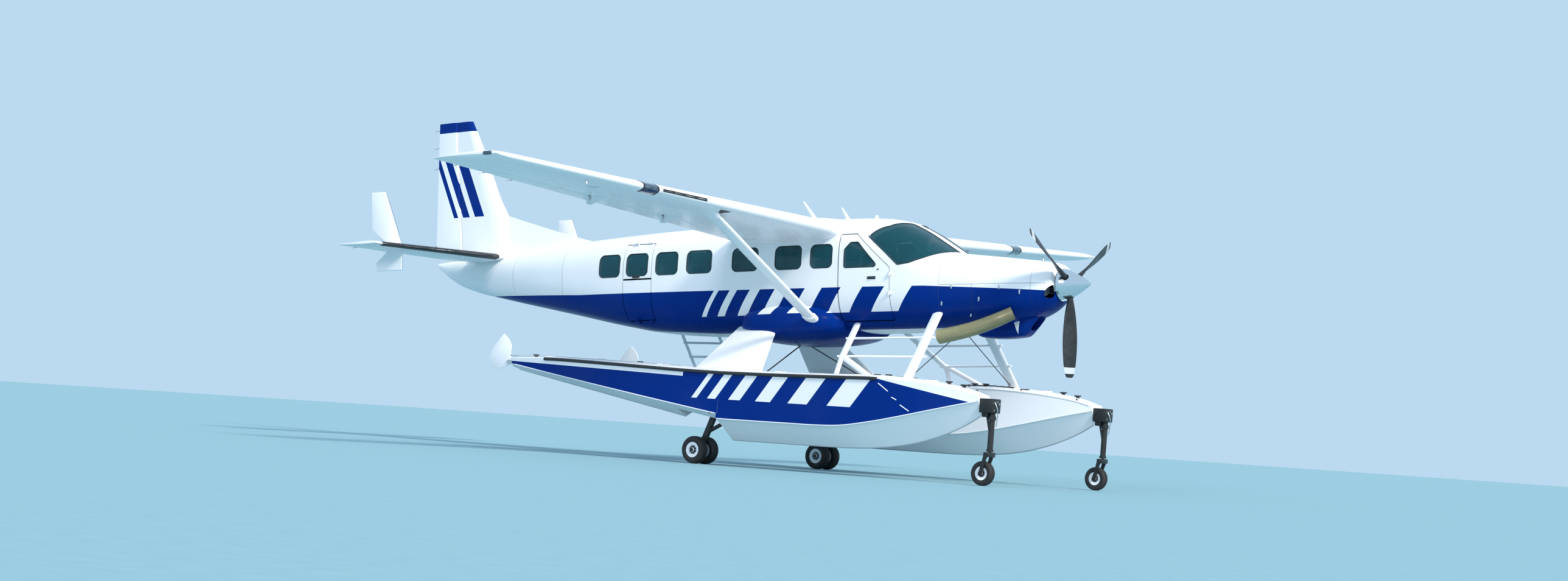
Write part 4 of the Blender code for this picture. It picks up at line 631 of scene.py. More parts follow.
DOOR_LEAVES = (("airstair_upper", airstair_high, -1, DOOR_TOP_Z, 1, (DOOR_PANE,)),
               ("airstair_lower", airstair_low, -1, DOOR_FOOT_Z, -1, ()),
               ("cargo_door_upper", cargo_high, 1, DOOR_TOP_Z, 1, (DOOR_PANE, WINDOW_EDGES[1])),
               ("cargo_door_lower", cargo_low, 1, DOOR_FOOT_Z, -1, ()))
for body, outline, sign, edge_z, way, holes in DOOR_LEAVES:
    panes = [pane_outline(*edge) for edge in holes]
    dressed(leaf(body + "_panel", inset(outline, DOOR_GAP), sign, panes), hull_paint, body, "white_paint",
            body)
    for number, shape in enumerate(panes):
        tag = "%s_pane_%d" % (body, number)
        dressed(pane(tag, shape, sign * 0.3, sign * 1.2), glass, body, "tinted_glass")
        dressed(tube(tag + "_seal", on_skin(shape, sign, CABIN_STATIONS, -0.004), 0.0075, True),
                seal_rubber, body, "black_metal")
    hinge_z = edge_z + way * 0.010
    x0, x1 = outline[0][0], outline[1][0]
    spots = [x1 - (x1 - x0) * s for s in (0.14, 0.62)]
    hinge_y = half_width(CABIN_STATIONS, spots[0], hinge_z) + HINGE_STAND
    for number, x in enumerate(spots):
        shell_y = half_width(CABIN_STATIONS, x, hinge_z + way * 0.040) - 0.022
        door_y = half_width(CABIN_STATIONS, x, hinge_z - way * 0.060) - 0.024
        hinge("%s_hinge_%d" % (body, number), (x, sign * hinge_y, hinge_z), (1, 0, 0),
              (x, sign * shell_y, hinge_z + way * 0.040), (x, sign * door_y, hinge_z - way * 0.060), body)
for sign, edges in ((-1, AIRSTAIR_X), (1, CARGO_X)):
    hole = rectangle(*edges, DOOR_FOOT_Z, DOOR_TOP_Z)
    door_seals.append(tube("door_seal", on_skin(hole, sign, CABIN_STATIONS, -0.034), 0.004, True))
dressed(joined("door_seals", door_seals), seal_rubber, "airframe", "black_metal")

# Tail cone, belly fairing and cowling: the same painted skin. The cowl splits along the
# thrust line, and its rounded nose carries two inlets beside the spinner and a chin scoop.
# x, top, bottom, half width, squareness
COWL_STATIONS = ((5.86, 0.325, -0.215, 0.335, 2.10), (5.78, 0.350, -0.300, 0.395, 2.15),
                 (5.62, 0.375, -0.395, 0.460, 2.25), (5.35, 0.412, -0.490, 0.540, 2.35),
                 (5.00, 0.455, -0.560, 0.610, 2.45), (4.60, 0.500, -0.595, 0.665, 2.50),
                 (4.2003, 0.545, -0.600, 0.700, 2.60))
TAIL_STATIONS = ((-3.00, 0.985, -0.210, 0.680, 2.65), (-3.60, 0.940, -0.095, 0.590, 2.50),
                 (-4.20, 0.890, 0.020, 0.480, 2.35), (-4.80, 0.850, 0.140, 0.360, 2.25),
                 (-5.30, 0.825, 0.245, 0.250, 2.15), (-5.70, 0.810, 0.370, 0.165, 2.10),
                 (-6.00, 0.795, 0.520, 0.100, 2.05), (-6.26, 0.770, 0.700, 0.035, 2.00))
COWL_WALL = 0.030
BELLY_STATIONS = ((2.62, -0.42, -0.60, 0.50, 2.4), (2.35, -0.20, -0.715, 0.80, 2.7),
                  (1.90, -0.12, -0.770, 0.90, 3.0), (1.20, -0.12, -0.765, 0.90, 3.0),
                  (0.75, -0.20, -0.690, 0.82, 2.6), (0.50, -0.42, -0.60, 0.50, 2.4))
CHIN_STATIONS = ((5.52, -0.34, -0.485, 0.13, 2.6), (5.40, -0.34, -0.610, 0.165, 3.0),
                 (5.26, -0.34, -0.715, 0.195, 3.4), (4.60, -0.34, -0.712, 0.215, 3.4),
                 (4.40, -0.34, -0.60, 0.20, 2.8))
CHIN_MOUTH = ((5.62, -0.415, -0.575, 0.095, 3.0), (5.30, -0.440, -0.640, 0.105, 3.0),
              (5.05, -0.440, -0.640, 0.105, 3.0))
COWL_NOSE = ((5.863, 0.318, -0.208, 0.328, 2.10), (5.8645, 0.302, -0.192, 0.312, 2.08),
             (5.865, 0.272, -0.162, 0.282, 2.05))
INLET_Y, INLET_Z, INLET_RADIUS = 0.27, -0.088, 0.103
SHAFT_ROOM = 0.115
COWL_FRONT = COWL_STATIONS[0][0]

belly_rings = [barrel_ring(station_at(BELLY_STATIONS, x), 0.0, 64) for x in spaced(2.50, 0.50, 0.05)]
dressed(barrel("tail_cone_skin", TAIL_STATIONS, -3.0003, -6.26), hull_paint, "airframe", "white_paint",
        "tail_cone")
dressed(loft("belly_fairing_skin", belly_rings), hull_paint, "airframe", "blue_paint",
        "belly_fairing")


def softened(piece, width, segments):
    """A piece with its sharp edges rounded."""
    round_edges = piece.modifiers.new("round_edges", "BEVEL")
    round_edges.width, round_edges.segments, round_edges.limit_method = width, segments, "ANGLE"
    return shaped(piece, "UNION")


def block(name, low, high, bevel=0.0, segments=2):
    """A box between two corners, its edges rounded."""
    (x0, y0, z0), (x1, y1, z1) = low, high
    made = mesh_object(name, [(x, y, z) for z in (z0, z1) for x, y in ((x0, y0), (x1, y0), (x1, y1),
            (x0, y1))], [(0, 1, 2, 3), (4, 5, 6, 7), (0, 1, 5, 4), (1, 2, 6, 5), (2, 3, 7, 6),
            (3, 0, 4, 7)])
    return softened(made, bevel, segments) if bevel else made


def cowl_half(name, low_z, high_z):
    """One half of the cowl, hollow and with its holes."""
    rings = [barrel_ring(station_at(COWL_STATIONS, x)) for x in spaced(4.2003, COWL_FRONT, 0.05)]
    made = loft(name, rings + [barrel_ring(station) for station in COWL_NOSE])
    depths = spaced(COWL_FRONT - COWL_WALL, 4.21, 0.12)
    inner = [barrel_ring(station_at(COWL_STATIONS, x), -COWL_WALL, 48) for x in depths]
    inner.append([Vector((4.1, p.y, p.z)) for p in inner[-1]])
    ahead = COWL_FRONT + 0.2
    holes = [loft("hollow", inner),
             tube("shaft", ((COWL_FRONT - 0.1, 0, THRUST_Z), (ahead, 0, THRUST_Z)), SHAFT_ROOM, False, 10)]
    if high_z < 0.5:
        holes += [tube("inlet", ((COWL_FRONT - 0.2, sign * INLET_Y, INLET_Z),
                                 (ahead, sign * INLET_Y, INLET_Z)), INLET_RADIUS, False, 14)
                  for side, sign in SIDES]
    shaped(made, "DIFFERENCE", *holes)
    return shaped(made, "INTERSECT", block("side", (4.0, -1, low_z), (6.1, 1, high_z)))


upper_cowl = cowl_half("cowl_upper_skin", THRUST_Z, 1.0)
lower_cowl = cowl_half("cowl_lower_skin", -1.0, THRUST_Z - 0.002)
shaped(lower_cowl, "UNION",
       loft("chin", [barrel_ring(station_at(CHIN_STATIONS, x), 0, 48) for x in spaced(5.52, 4.40, 0.03)]))
shaped(lower_cowl, "DIFFERENCE", loft("mouth", [barrel_ring(station, 0, 48) for station in CHIN_MOUTH]))
dressed(upper_cowl, hull_paint, "airframe", "white_paint", "cowl_upper")
dressed(lower_cowl, hull_paint, "airframe", "blue_paint", "cowl_lower")

# Exhaust: one fat stack on the starboard side, its steel browned and blued by the heat.
heated_steel, tree, shader = new_material("heated_steel")
x, y, z = air_point(tree)[:3]
stains = noise(tree, object_point(tree), 9.0, 5.0)
heat = sums(tree, "MULTIPLY_ADD", stains, 0.5, ramp(tree, x, 4.2, 5.5, 0.0, 0.6))
tree.links.new(mixed(tree, ramp(tree, heat, 0.2, 0.8), (0.40, 0.36, 0.19), (0.20, 0.18, 0.10)),
               shader.inputs["Base Color"])
tree.links.new(ramp(tree, stains, 0.3, 0.7, 0.24, 0.5), shader.inputs["Roughness"])
shader.inputs["Metallic"].default_value = 0.35
bumped(tree, shader, stains, 0.15, 0.004)

# Near-black finish of soot and painted shade, for the plug that closes the stack's bore.
soot_and_shade = grained("soot_and_shade", 40.0, 3.0, (0.006, 0.006, 0.007), (0.03, 0.027, 0.025), 0.9)

EXHAUST_PATH = ((5.36, -0.53, -0.400), (5.14, -0.640, -0.510), (4.85, -0.700, -0.612), (4.55, -0.732, -0.682),
                (4.25, -0.745, -0.733))
EXHAUST_RADII = (0.096, 0.101, 0.104, 0.106, 0.108)
EXHAUST_BORE = 0.097


def smooth_path(points, steps):
    """More points on a smooth curve through the given ones; works for places and for radii."""
    path = []
    last = len(points) - 1
    for i in range(last):
        a, b, c, d = (points[min(max(i + k, 0), last)] for k in (-1, 0, 1, 2))
        for k in range(steps):
            t = k / steps
            path.append(b + (c - a) * 0.5 * t + (a - b * 2.5 + c * 2 - d * 0.5) * t * t
                        + (b * 1.5 - a * 0.5 - c * 1.5 + d * 0.5) * t ** 3)
    return path + [points[-1]]


def pipe(name, path, radii, count=40):
    """A tube of changing radius along a path."""
    rings = []
    for i, (point, radius) in enumerate(zip(path, radii)):
        ahead = path[min(i + 1, len(path) - 1)] - path[max(i - 1, 0)]
        side = ahead.cross(Vector((0, 0, 1))).normalized()
        up = side.cross(ahead).normalized()
        rings.append([point + (side * cos(2 * pi * k / count) + up * sin(2 * pi * k / count)) * radius
                      for k in range(count)])
    return loft(name, rings)


stack_path = smooth_path([Vector(p) for p in EXHAUST_PATH], 6)
stack_radii = smooth_path(list(EXHAUST_RADII), 6)
stack = pipe("exhaust_pipe", stack_path, stack_radii)
shaped(stack, "DIFFERENCE", pipe("bore", stack_path[-8:] + [stack_path[-1] * 2 - stack_path[-2]],
                                 [EXHAUST_BORE] * 9))
dressed(stack, heated_steel, "airframe", "heated_metal", "exhaust_stack")
# A dark plug a little way inside the outlet: soot, and painted shade that stands for the open pipe's dark
# depth.
dressed(pipe("exhaust_bore_shade_plug", stack_path[-7:-5], [EXHAUST_BORE - 0.0002] * 2), soot_and_shade, "airframe", "black_metal")

# Spinner and propeller: a mirror-polished ogive and three broad black blades with square tips
# and a white band near each tip.
chrome = grained("polished_spinner", 30.0, 4.0, (0.72, 0.75, 0.79), (0.82, 0.84, 0.87), (0.03, 0.10),
                 sockets={"Metallic": 1.0})

blade_paint, tree, shader = new_material("blade_paint")
x, y, z = air_point(tree)[:3]
lift = sums(tree, "SUBTRACT", z, THRUST_Z)
out = sums(tree, "SQRT", sums(tree, "MULTIPLY_ADD", y, y, sums(tree, "MULTIPLY", lift, lift)))
worn = noise(tree, object_point(tree), 14.0, 5.0)
band = sums(tree, "COMPARE", out, 1.245, 0.045)
tree.links.new(mixed(tree, band, (0.012, 0.014, 0.017), (0.55, 0.57, 0.60)), shader.inputs["Base Color"])
tree.links.new(ramp(tree, worn, 0.3, 0.7, 0.28, 0.5), shader.inputs["Roughness"])

SPINNER_BASE_X, SPINNER_TIP_X, SPINNER_RADIUS = 5.885, 6.350, 0.240
SPINNER_CURVE = ((1, 0.0), (0.985, 0.035), (0.92, 0.125), (0.75, 0.335), (0.50, 0.61), (0.30, 0.80),
                 (0.12, 0.94), (0, 1))
PROP_RADIUS = 1.345
BLADE_SECTIONS = ((0.05, 0.080, 1.00, 75), (0.19, 0.080, 1.00, 75), (0.30, 0.115, 0.60, 62),
                  (0.50, 0.175, 0.22, 50), (0.80, 0.225, 0.13, 38), (1.10, 0.215, 0.09, 30),
                  (1.28, 0.165, 0.07, 26), (1.335, 0.115, 0.06, 24), (PROP_RADIUS, 0.085, 0.05, 24))


def turned(name, profile, centre, way, count=64):
    """A profile of distances and radii turned about an axis, by the Screw modifier."""
    mesh = bpy.data.meshes.new(name)
    mesh.from_pydata([(radius, 0, along) for along, radius in profile],
                     [(i, i + 1) for i in range(len(profile) - 1)], [])
    made = new_object(name, mesh)
    screw = made.modifiers.new("turn", "SCREW")
    screw.steps = screw.render_steps = count
    screw.use_merge_vertices = True
    screw.merge_threshold = 0.0001
    screw.use_normal_calculate = True
    bpy.context.view_layer.update()
    mesh = bpy.data.meshes.new_from_object(made.evaluated_get(bpy.context.evaluated_depsgraph_get()))
    made.modifiers.clear()
    made.data = mesh
    shape = bmesh.new()
    shape.from_mesh(mesh)
    bmesh.ops.recalc_face_normals(shape, faces=shape.faces[:])
    shape.to_mesh(mesh)
    shape.free()
    turn = Vector((0, 0, 1)).rotation_difference(Vector(way)).to_matrix().to_4x4()
    mesh.transform(Matrix.Translation(centre) @ turn)
    return made


spinner_length = SPINNER_TIP_X - SPINNER_BASE_X
ogive = [(spinner_length * t, SPINNER_RADIUS * r)
         for t, r in smooth_path([Vector(p) for p in SPINNER_CURVE], 5)]
hollow = [(along - 0.004, radius - 0.006) for along, radius in reversed(ogive) if radius > 0.02]
spinner = turned("spinner_shell", ogive + hollow + [(hollow[-1][0] - 0.004, 0)],
                 (SPINNER_BASE_X, 0, THRUST_Z), (1, 0, 0))
hub = Vector((HUB_X, 0, THRUST_Z))
blades = []
for number in range(3):
    angle = -pi / 2 + number * 2 * pi / 3
    out = Vector((0, cos(angle), sin(angle)))
    across = Vector((1, 0, 0)).cross(out)
    sections = smooth_path([Vector(s) for s in BLADE_SECTIONS], 4)
    rings = []
    for radius, chord, thick, pitch in sections:
        edge = (across * cos(radians(pitch)) + Vector((1, 0, 0)) * sin(radians(pitch))).normalized()
        flat = edge.cross(out)
        rings.append([hub + out * radius + edge * chord / 2 * cos(2 * pi * k / 24)
                      + flat * chord * thick / 2 * sin(2 * pi * k / 24) for k in range(24)])
    blades.append(loft("blade", rings))
    shaped(spinner, "DIFFERENCE", tube("blade_hole", (hub + out * 0.06, hub + out * 0.30), 0.055, False, 6))
blades.append(turned("hub", ((0.13, 0), (0.13, 0.06), (0.10, 0.10), (-0.1152, 0.11), (-0.1155, 0.2225),
                             (-0.1297, 0.2225), (-0.130, 0.040), (-0.50, 0.040), (-0.50, 0)), hub,
                     (1, 0, 0), 48))
dressed(spinner, chrome, "propeller", "polished_metal", "spinner")
dressed(joined("propeller_blades", blades), blade_paint, "propeller", "black_metal", "propeller")

# Wings: a thick cambered section with three degrees of dihedral, square tips with rounded
# ends, flaps hung on arms below the wing, ailerons, landing lights and tip lamps.
white_paint, tree, shader = new_material("white_paint")
paint_finish(tree, shader, mixed(tree, 0.0, WHITE, WHITE))

SEMI_SPAN, ROOT_Y = 7.93, 0.80
ROOT_CHORD, TIP_CHORD = 1.98, 1.12
ROOT_LE_X, TIP_LE_X = 2.46, 1.93
WING_ROOT_Z = 0.885
DIHEDRAL, INCIDENCE = radians(3.0), radians(2.0)
ROOT_THICKNESS, TIP_THICKNESS = 0.170, 0.120
HINGE_SHARE = 0.74
FLAP_Y, AILERON_Y = (0.98, 5.48), (5.56, 7.50)
FLAP_HINGE_DROP = 0.150
FLAP_ARMS = (0.12, 0.5, 0.88)
MOVING_GAP = 0.005
END_GAP = 0.010
TIP_ROUND_Y = 7.60
TIP_STEPS = (0.2, 0.4, 0.6, 0.75, 0.87, 0.95, 1.0)


def span_share(y):
    return (abs(y) - ROOT_Y) / (SEMI_SPAN - ROOT_Y)


def wing_chord(y):
    return ROOT_CHORD + (TIP_CHORD - ROOT_CHORD) * span_share(y)


def wing_thickness(y):
    return ROOT_THICKNESS + (TIP_THICKNESS - ROOT_THICKNESS) * span_share(y)


def foil_half(u, thickness):
    """Half thickness of the section at a share of its chord."""
    u = min(max(u, 0.0), 1.0)
    return 5 * thickness * (0.2969 * sqrt(u) - 0.1260 * u - 0.3516 * u ** 2 + 0.2843 * u ** 3
                            - 0.1002 * u ** 4)


def wing_point(y, u, lift=0.0):
    """A point of the wing at a share of the chord, raised from its camber line."""
    chord = wing_chord(y)
    turn = INCIDENCE * (1 - span_share(y))
    x = (0.25 - u) * chord
    z = 0.018 * (1 - (2 * u - 0.9) ** 2 / 1.21) * chord + lift
    edge = ROOT_LE_X + (TIP_LE_X - ROOT_LE_X) * span_share(y)
    return Vector((edge - 0.25 * chord + x * cos(turn) - z * sin(turn), y,
                   WING_ROOT_Z + (abs(y) - ROOT_Y) * tan(DIHEDRAL) + x * sin(turn) + z * cos(turn)))


def foil_outline(chord, thickness, grow=0.0, steps=22, nose=0.0):
    """Shares of the chord and lifts round a closed section, or round its nose alone."""
    outline = []
    for side in (1, -1):
        for i in range(steps + 1):
            u = (1 + side * cos(pi * i / steps)) / 2
            if nose:
                u = nose * (1 + cos(pi * i / steps)) / 2 if side > 0 else nose * (1 - cos(pi * i / steps)) / 2
            outline.append((u, side * (foil_half(u, thickness) * chord + 0.002 + grow)))
    return outline


def wing_ring(y, grow=0.0, tip=1.0):
    return [wing_point(y, u, lift) for u, lift in foil_outline(wing_chord(y), wing_thickness(y) * tip, grow)]


def surface_ring(y, place, chord, thickness, hinge):
    """A control surface's section: a round nose about its hinge, then the foil's own lines."""
    nose = foil_half(hinge, thickness) * chord * 0.96
    rear = [1.0 - (1.0 - hinge) * t for t in (0.0, 0.25, 0.5, 0.75)]
    ring = [place(y, u, foil_half(u, thickness) * chord * 0.96 + 0.002) for u in rear]
    for i in range(13):
        turn = pi / 2 + pi * i / 12
        ring.append(place(y, hinge + nose * cos(turn) / chord, nose * sin(turn)))
    return ring + [place(y, u, -foil_half(u, thickness) * chord * 0.96 - 0.002) for u in reversed(rear)]


def bay(y0, y1, sign):
    """The room behind the rear spar that a flap or an aileron sits in."""
    rings = []
    for y in (y0 - MOVING_GAP, y1 + MOVING_GAP):
        front = HINGE_SHARE - (foil_half(HINGE_SHARE, wing_thickness(y)) * wing_chord(y)
                               + MOVING_GAP) / wing_chord(y)
        rings.append([wing_point(sign * y, u, lift) for u, lift in ((front, -0.5), (1.2, -0.5), (1.2, 0.5),
                (front, 0.5))])
    return loft("bay", rings)


for side, sign in SIDES:
    rings = [wing_ring(sign * y) for y in spaced(0.35, TIP_ROUND_Y, 0.30)]
    for t in TIP_STEPS:
        y = sign * (TIP_ROUND_Y + (SEMI_SPAN - TIP_ROUND_Y) * t)
        rings.append(wing_ring(y, 0.0, max(1 - t ** 2.2, 0.02) ** 0.5))
    wing = loft("wing_skin_" + side, rings)
    shaped(wing, "DIFFERENCE", barrel("inside", CABIN_STATIONS, 3.2, 0.0, -0.02, 48, 0.3),
           bay(*FLAP_Y, sign), bay(*AILERON_Y, sign))
    dressed(wing, white_paint, "airframe", "white_paint", "wing_" + side)

    arms, lugs, slots = [], [], []
    for spot in FLAP_ARMS:
        y = sign * (FLAP_Y[0] + (FLAP_Y[1] - FLAP_Y[0]) * spot)
        at = wing_point(y, HINGE_SHARE, -FLAP_HINGE_DROP)
        root, mid = wing_point(y, HINGE_SHARE - 0.30), wing_point(y, HINGE_SHARE - 0.08, -0.05)
        arms.append(prism("arm", [(at.x - 0.03, at.z - 0.025), (at.x + 0.02, at.z - 0.035),
                                  (root.x, root.z - 0.06), (root.x, root.z), (mid.x, mid.z),
                                  (mid.x - 0.02, mid.z - 0.05), (at.x - 0.03, at.z + 0.025)], y - 0.016,
                          y + 0.016))
        arms.append(tube("arm_pin", (at - Vector((0, 0.045, 0)), at + Vector((0, 0.045, 0))), 0.008))
        slots.append(prism("slot", [(at.x - 0.2, at.z - 0.05), (root.x + 0.1, at.z - 0.05),
                                    (root.x + 0.1, at.z + 0.1), (at.x - 0.2, at.z + 0.1)], y - 0.021,
                           y + 0.021))
        for edge in (-1, 1):
            y_in = y + edge * (0.016 + MOVING_GAP)
            top = wing_point(y, HINGE_SHARE + 0.02)
            lugs.append(prism("lug", [(at.x - 0.025, at.z - 0.02), (at.x + 0.02, at.z - 0.02),
                                      (at.x + 0.02, at.z + 0.02), (top.x + 0.02, top.z),
                                      (top.x - 0.12, top.z), (at.x - 0.025, at.z + 0.02)], y_in,
                              y_in + edge * 0.018))
    dressed(joined("flap_arms_" + side, arms), white_paint, "airframe", "white_paint")
    dressed(joined("flap_lugs_" + side, lugs), white_paint, "flap_" + side, "white_paint")
    for kind, (y0, y1) in (("flap", FLAP_Y), ("aileron", AILERON_Y)):
        body = "%s_%s" % (kind, side)
        surface = loft(body + "_skin", [surface_ring(sign * y, wing_point, wing_chord(y), wing_thickness(y),
                HINGE_SHARE) for y in spaced(y0 + END_GAP, y1 - END_GAP, 0.5)])
        if kind == "flap":
            shaped(surface, "DIFFERENCE", *slots)
        dressed(surface, white_paint, body, "white_paint", body)

# Struts: extruded aluminium of streamline section, painted white. The wing's are bolted to the
# hull's frames under fairings, and the floats hang on two frames in front and two at the rear.

def strut(name, start, end, chord, thick, steps=28, end_chord=None, swell=0.0):
    """A streamlined strut between two points, its chord along the aircraft."""
    start, end = Vector(start), Vector(end)
    along = (end - start).normalized()
    fore = (Vector((1, 0, 0)) - along * along.x).normalized()
    side = along.cross(fore)
    rings = []
    for t in spaced(0.0, 1.0, 0.125):
        width = chord + ((end_chord or chord) - chord) * t
        bulge = 1 + swell * (2 * t - 1) ** 8
        rings.append([start.lerp(end, t) + fore * width / 2 * bulge * cos(2 * pi * k / steps)
                + side * thick / 2 * bulge * sin(2 * pi * k / steps) * (1 + 0.25 * cos(2 * pi * k / steps))
                for k in range(steps)])
    return loft(name, rings)


def to_air(x, y, z):
    """A point of the level frame, in the fuselage's frame."""
    return AIR.inverted() @ LEVEL @ Vector((x, y, z))


for side, sign in SIDES:
    low, high = Vector((2.06, sign * 0.70, -0.52)), Vector((1.98, sign * 3.50, 1.02))
    dressed(strut("wing_strut_skin_" + side, low, high, 0.21, 0.075), white_paint, "airframe",
            "white_paint", "wing_strut_" + side)
    foot = strut("wing_strut_foot_" + side, low.lerp(high, 0.01), low.lerp(high, 0.085), 0.25, 0.110)
    head = strut("wing_strut_head_" + side, low.lerp(high, 0.915), low.lerp(high, 1.015), 0.24, 0.12, 28,
                 0.34)
    dressed(joined("wing_strut_ends_" + side, [foot, head]), white_paint, "airframe", "white_paint")

    front_top, front_foot = Vector((4.13, sign * 0.60, -0.37)), to_air(4.27, sign * 1.55, -1.20)
    ladder_top, knee = Vector((2.71, sign * 0.60, -0.50)), Vector((3.00, sign * 1.42, -1.05))
    raised = knee + Vector((0, 0, 0.02))
    legs = [strut("front", front_top, front_foot, 0.175, 0.060), strut("ladder", ladder_top, knee, 0.115,
            0.045), strut("foot", raised, to_air(3.07, sign * 1.60, -1.20), 0.085, 0.045),
            strut("brace", raised, to_air(3.78, sign * 1.60, -1.20), 0.085, 0.045)]
    for at_ladder, at_strut in ((0.44, 0.36), (0.97, 0.635)):
        a, b = ladder_top.lerp(knee, at_ladder), front_top.lerp(front_foot, at_strut)
        along = (b - a).normalized()
        legs.append(tube("step", (a - along * 0.08, b + along * 0.14), 0.017, False, 3))
        legs.append(tube("step_collar", (b - along * 0.055, b + along * 0.055), 0.026, False, 3))
    dressed(joined("front_strut_frame_" + side, legs), white_paint, "airframe", "white_paint",
            "front_struts_" + side)

    rings = []
    for t in spaced(0.0, 1.0, 0.1):
        fore_x, aft_x = 1.32 + 0.40 * t, 0.60 - 0.23 * t
        y, z = sign * (0.70 + 0.96 * t), -0.50 - 0.78 * t
        rings.append([Vector((aft_x + (fore_x - aft_x) * (1 - u), y + lift * 0.8, z + lift * 0.6 * sign))
                      for u, lift in foil_outline(1.0, 0.088, 0.0, 14)])
    dressed(loft("rear_strut_fairing_" + side, rings), white_paint, "airframe", "white_paint",
            "rear_strut_" + side)

# Tail: a tall fin with a long dorsal fillet and a blue cap, the tailplane with black ice
# boots, and two finlets. Plain blue bars lean across the fin and the rudder.
TAIL_Z, TAIL_SEMI_SPAN, TAIL_THICKNESS = 0.800, 3.125, 0.105
TAIL_ROOT, TAIL_TIP = (-4.52, 1.34), (-4.80, 0.84)
ELEVATOR_SHARE, ELEVATOR_Y = 0.62, (0.30, 3.00)
FINLET_Y = 2.34
FINLET = ((-4.93, 0.80), (-5.326, 1.706), (-5.637, 1.706), (-5.60, 1.10), (-5.26, 0.87), (-5.26, 0.73),
          (-5.50, 0.55), (-5.462, 0.425), (-4.922, 0.425))
FIN_STATIONS = ((0.70, -4.45, 0.085), (1.20, -4.62, 0.085), (1.514, -4.743, 0.083), (1.797, -4.92, 0.080),
                (2.693, -5.345, 0.062), (3.158, -5.595, 0.045))
RUDDER_HINGE = ((-5.74, 0.875), (-5.97, 3.158))
RUDDER_NOSE, RUDDER_REAR_X = 0.042, -6.340
FIN_CAP_Z = 2.99
FIN_BARS = ((-4.62, 0.22), (-4.93, 0.16), (-5.17, 0.10))

fin_paint, tree, shader = new_material("fin_paint")
x, y, z = air_point(tree)[:3]
leaning = slashes(tree, sums(tree, "MULTIPLY_ADD", z, 0.467, x), FIN_BARS)
panel = sums(tree, "MULTIPLY", leaning, sums(tree, "COMPARE", z, 2.05, 0.52))
cap = sums(tree, "GREATER_THAN", z, FIN_CAP_Z)
paint_finish(tree, shader, mixed(tree, sums(tree, "MAXIMUM", panel, cap), WHITE, BLUE))

boot_rubber = grained("ice_boot", 55.0, 4.0, (0.008, 0.009, 0.010), (0.028, 0.029, 0.032), (0.35, 0.55))


def rudder_hinge_x(z):
    (x0, z0), (x1, z1) = RUDDER_HINGE
    return x0 + (x1 - x0) * (z - z0) / (z1 - z0)


def fin_ring(z, le, half, steps=20):
    """A fin section at a height: a round nose, then a gentle taper to the rudder's post."""
    rear = rudder_hinge_x(z) + RUDDER_NOSE + MOVING_GAP
    sides = []
    for i in range(steps + 1):
        u = (1 - cos(pi * i / steps)) / 2
        swell = min(u / 0.32, 1.0)
        sides.append((u, half * sqrt(swell * (2 - swell)) * (1 - 0.55 * max(u - 0.32, 0) / 0.68)))
    return [Vector((le + (rear - le) * u, t, z)) for u, t in sides] + [Vector((le + (rear - le) * u, -t, z))
            for u, t in reversed(sides[1:])]


fin_skin = loft("fin_skin", [fin_ring(*station_at(FIN_STATIONS, z)) for z in spaced(0.70, 3.158, 0.09)])
dorsal = loft("dorsal", [[Vector((-2.70 - 2.20 * t, s * (0.012 + 0.018 * t), 0.975 + 0.585 * t ** 1.12))
                          for s in (1, -1)]
                         + [Vector((-2.70 - 2.20 * t, s * (0.035 + 0.055 * t), 0.90 - 0.20 * t))
                            for s in (-1, 1)] for t in spaced(0.0, 1.0, 0.05)])
dressed(shaped(fin_skin, "UNION", dorsal), fin_paint, "airframe", "white_paint", "fin")
rings = []
for z in spaced(0.875, 3.158, 0.12):
    hinge_x = rudder_hinge_x(z)
    nose = [Vector((hinge_x + RUDDER_NOSE * sin(pi * k / 12), RUDDER_NOSE * cos(pi * k / 12), z))
            for k in range(13)]
    rings.append(nose + [Vector((RUDDER_REAR_X, y, z)) for y in (-0.004, 0.004)])
dressed(loft("rudder_skin", rings), fin_paint, "rudder", "white_paint", "rudder")


def tail_chord(y):
    return TAIL_ROOT[1] + (TAIL_TIP[1] - TAIL_ROOT[1]) * abs(y) / TAIL_SEMI_SPAN


def tail_point(y, u, lift=0.0):
    return Vector((TAIL_ROOT[0] + (TAIL_TIP[0] - TAIL_ROOT[0]) * abs(y) / TAIL_SEMI_SPAN
                   - u * tail_chord(y), y, TAIL_Z + lift))


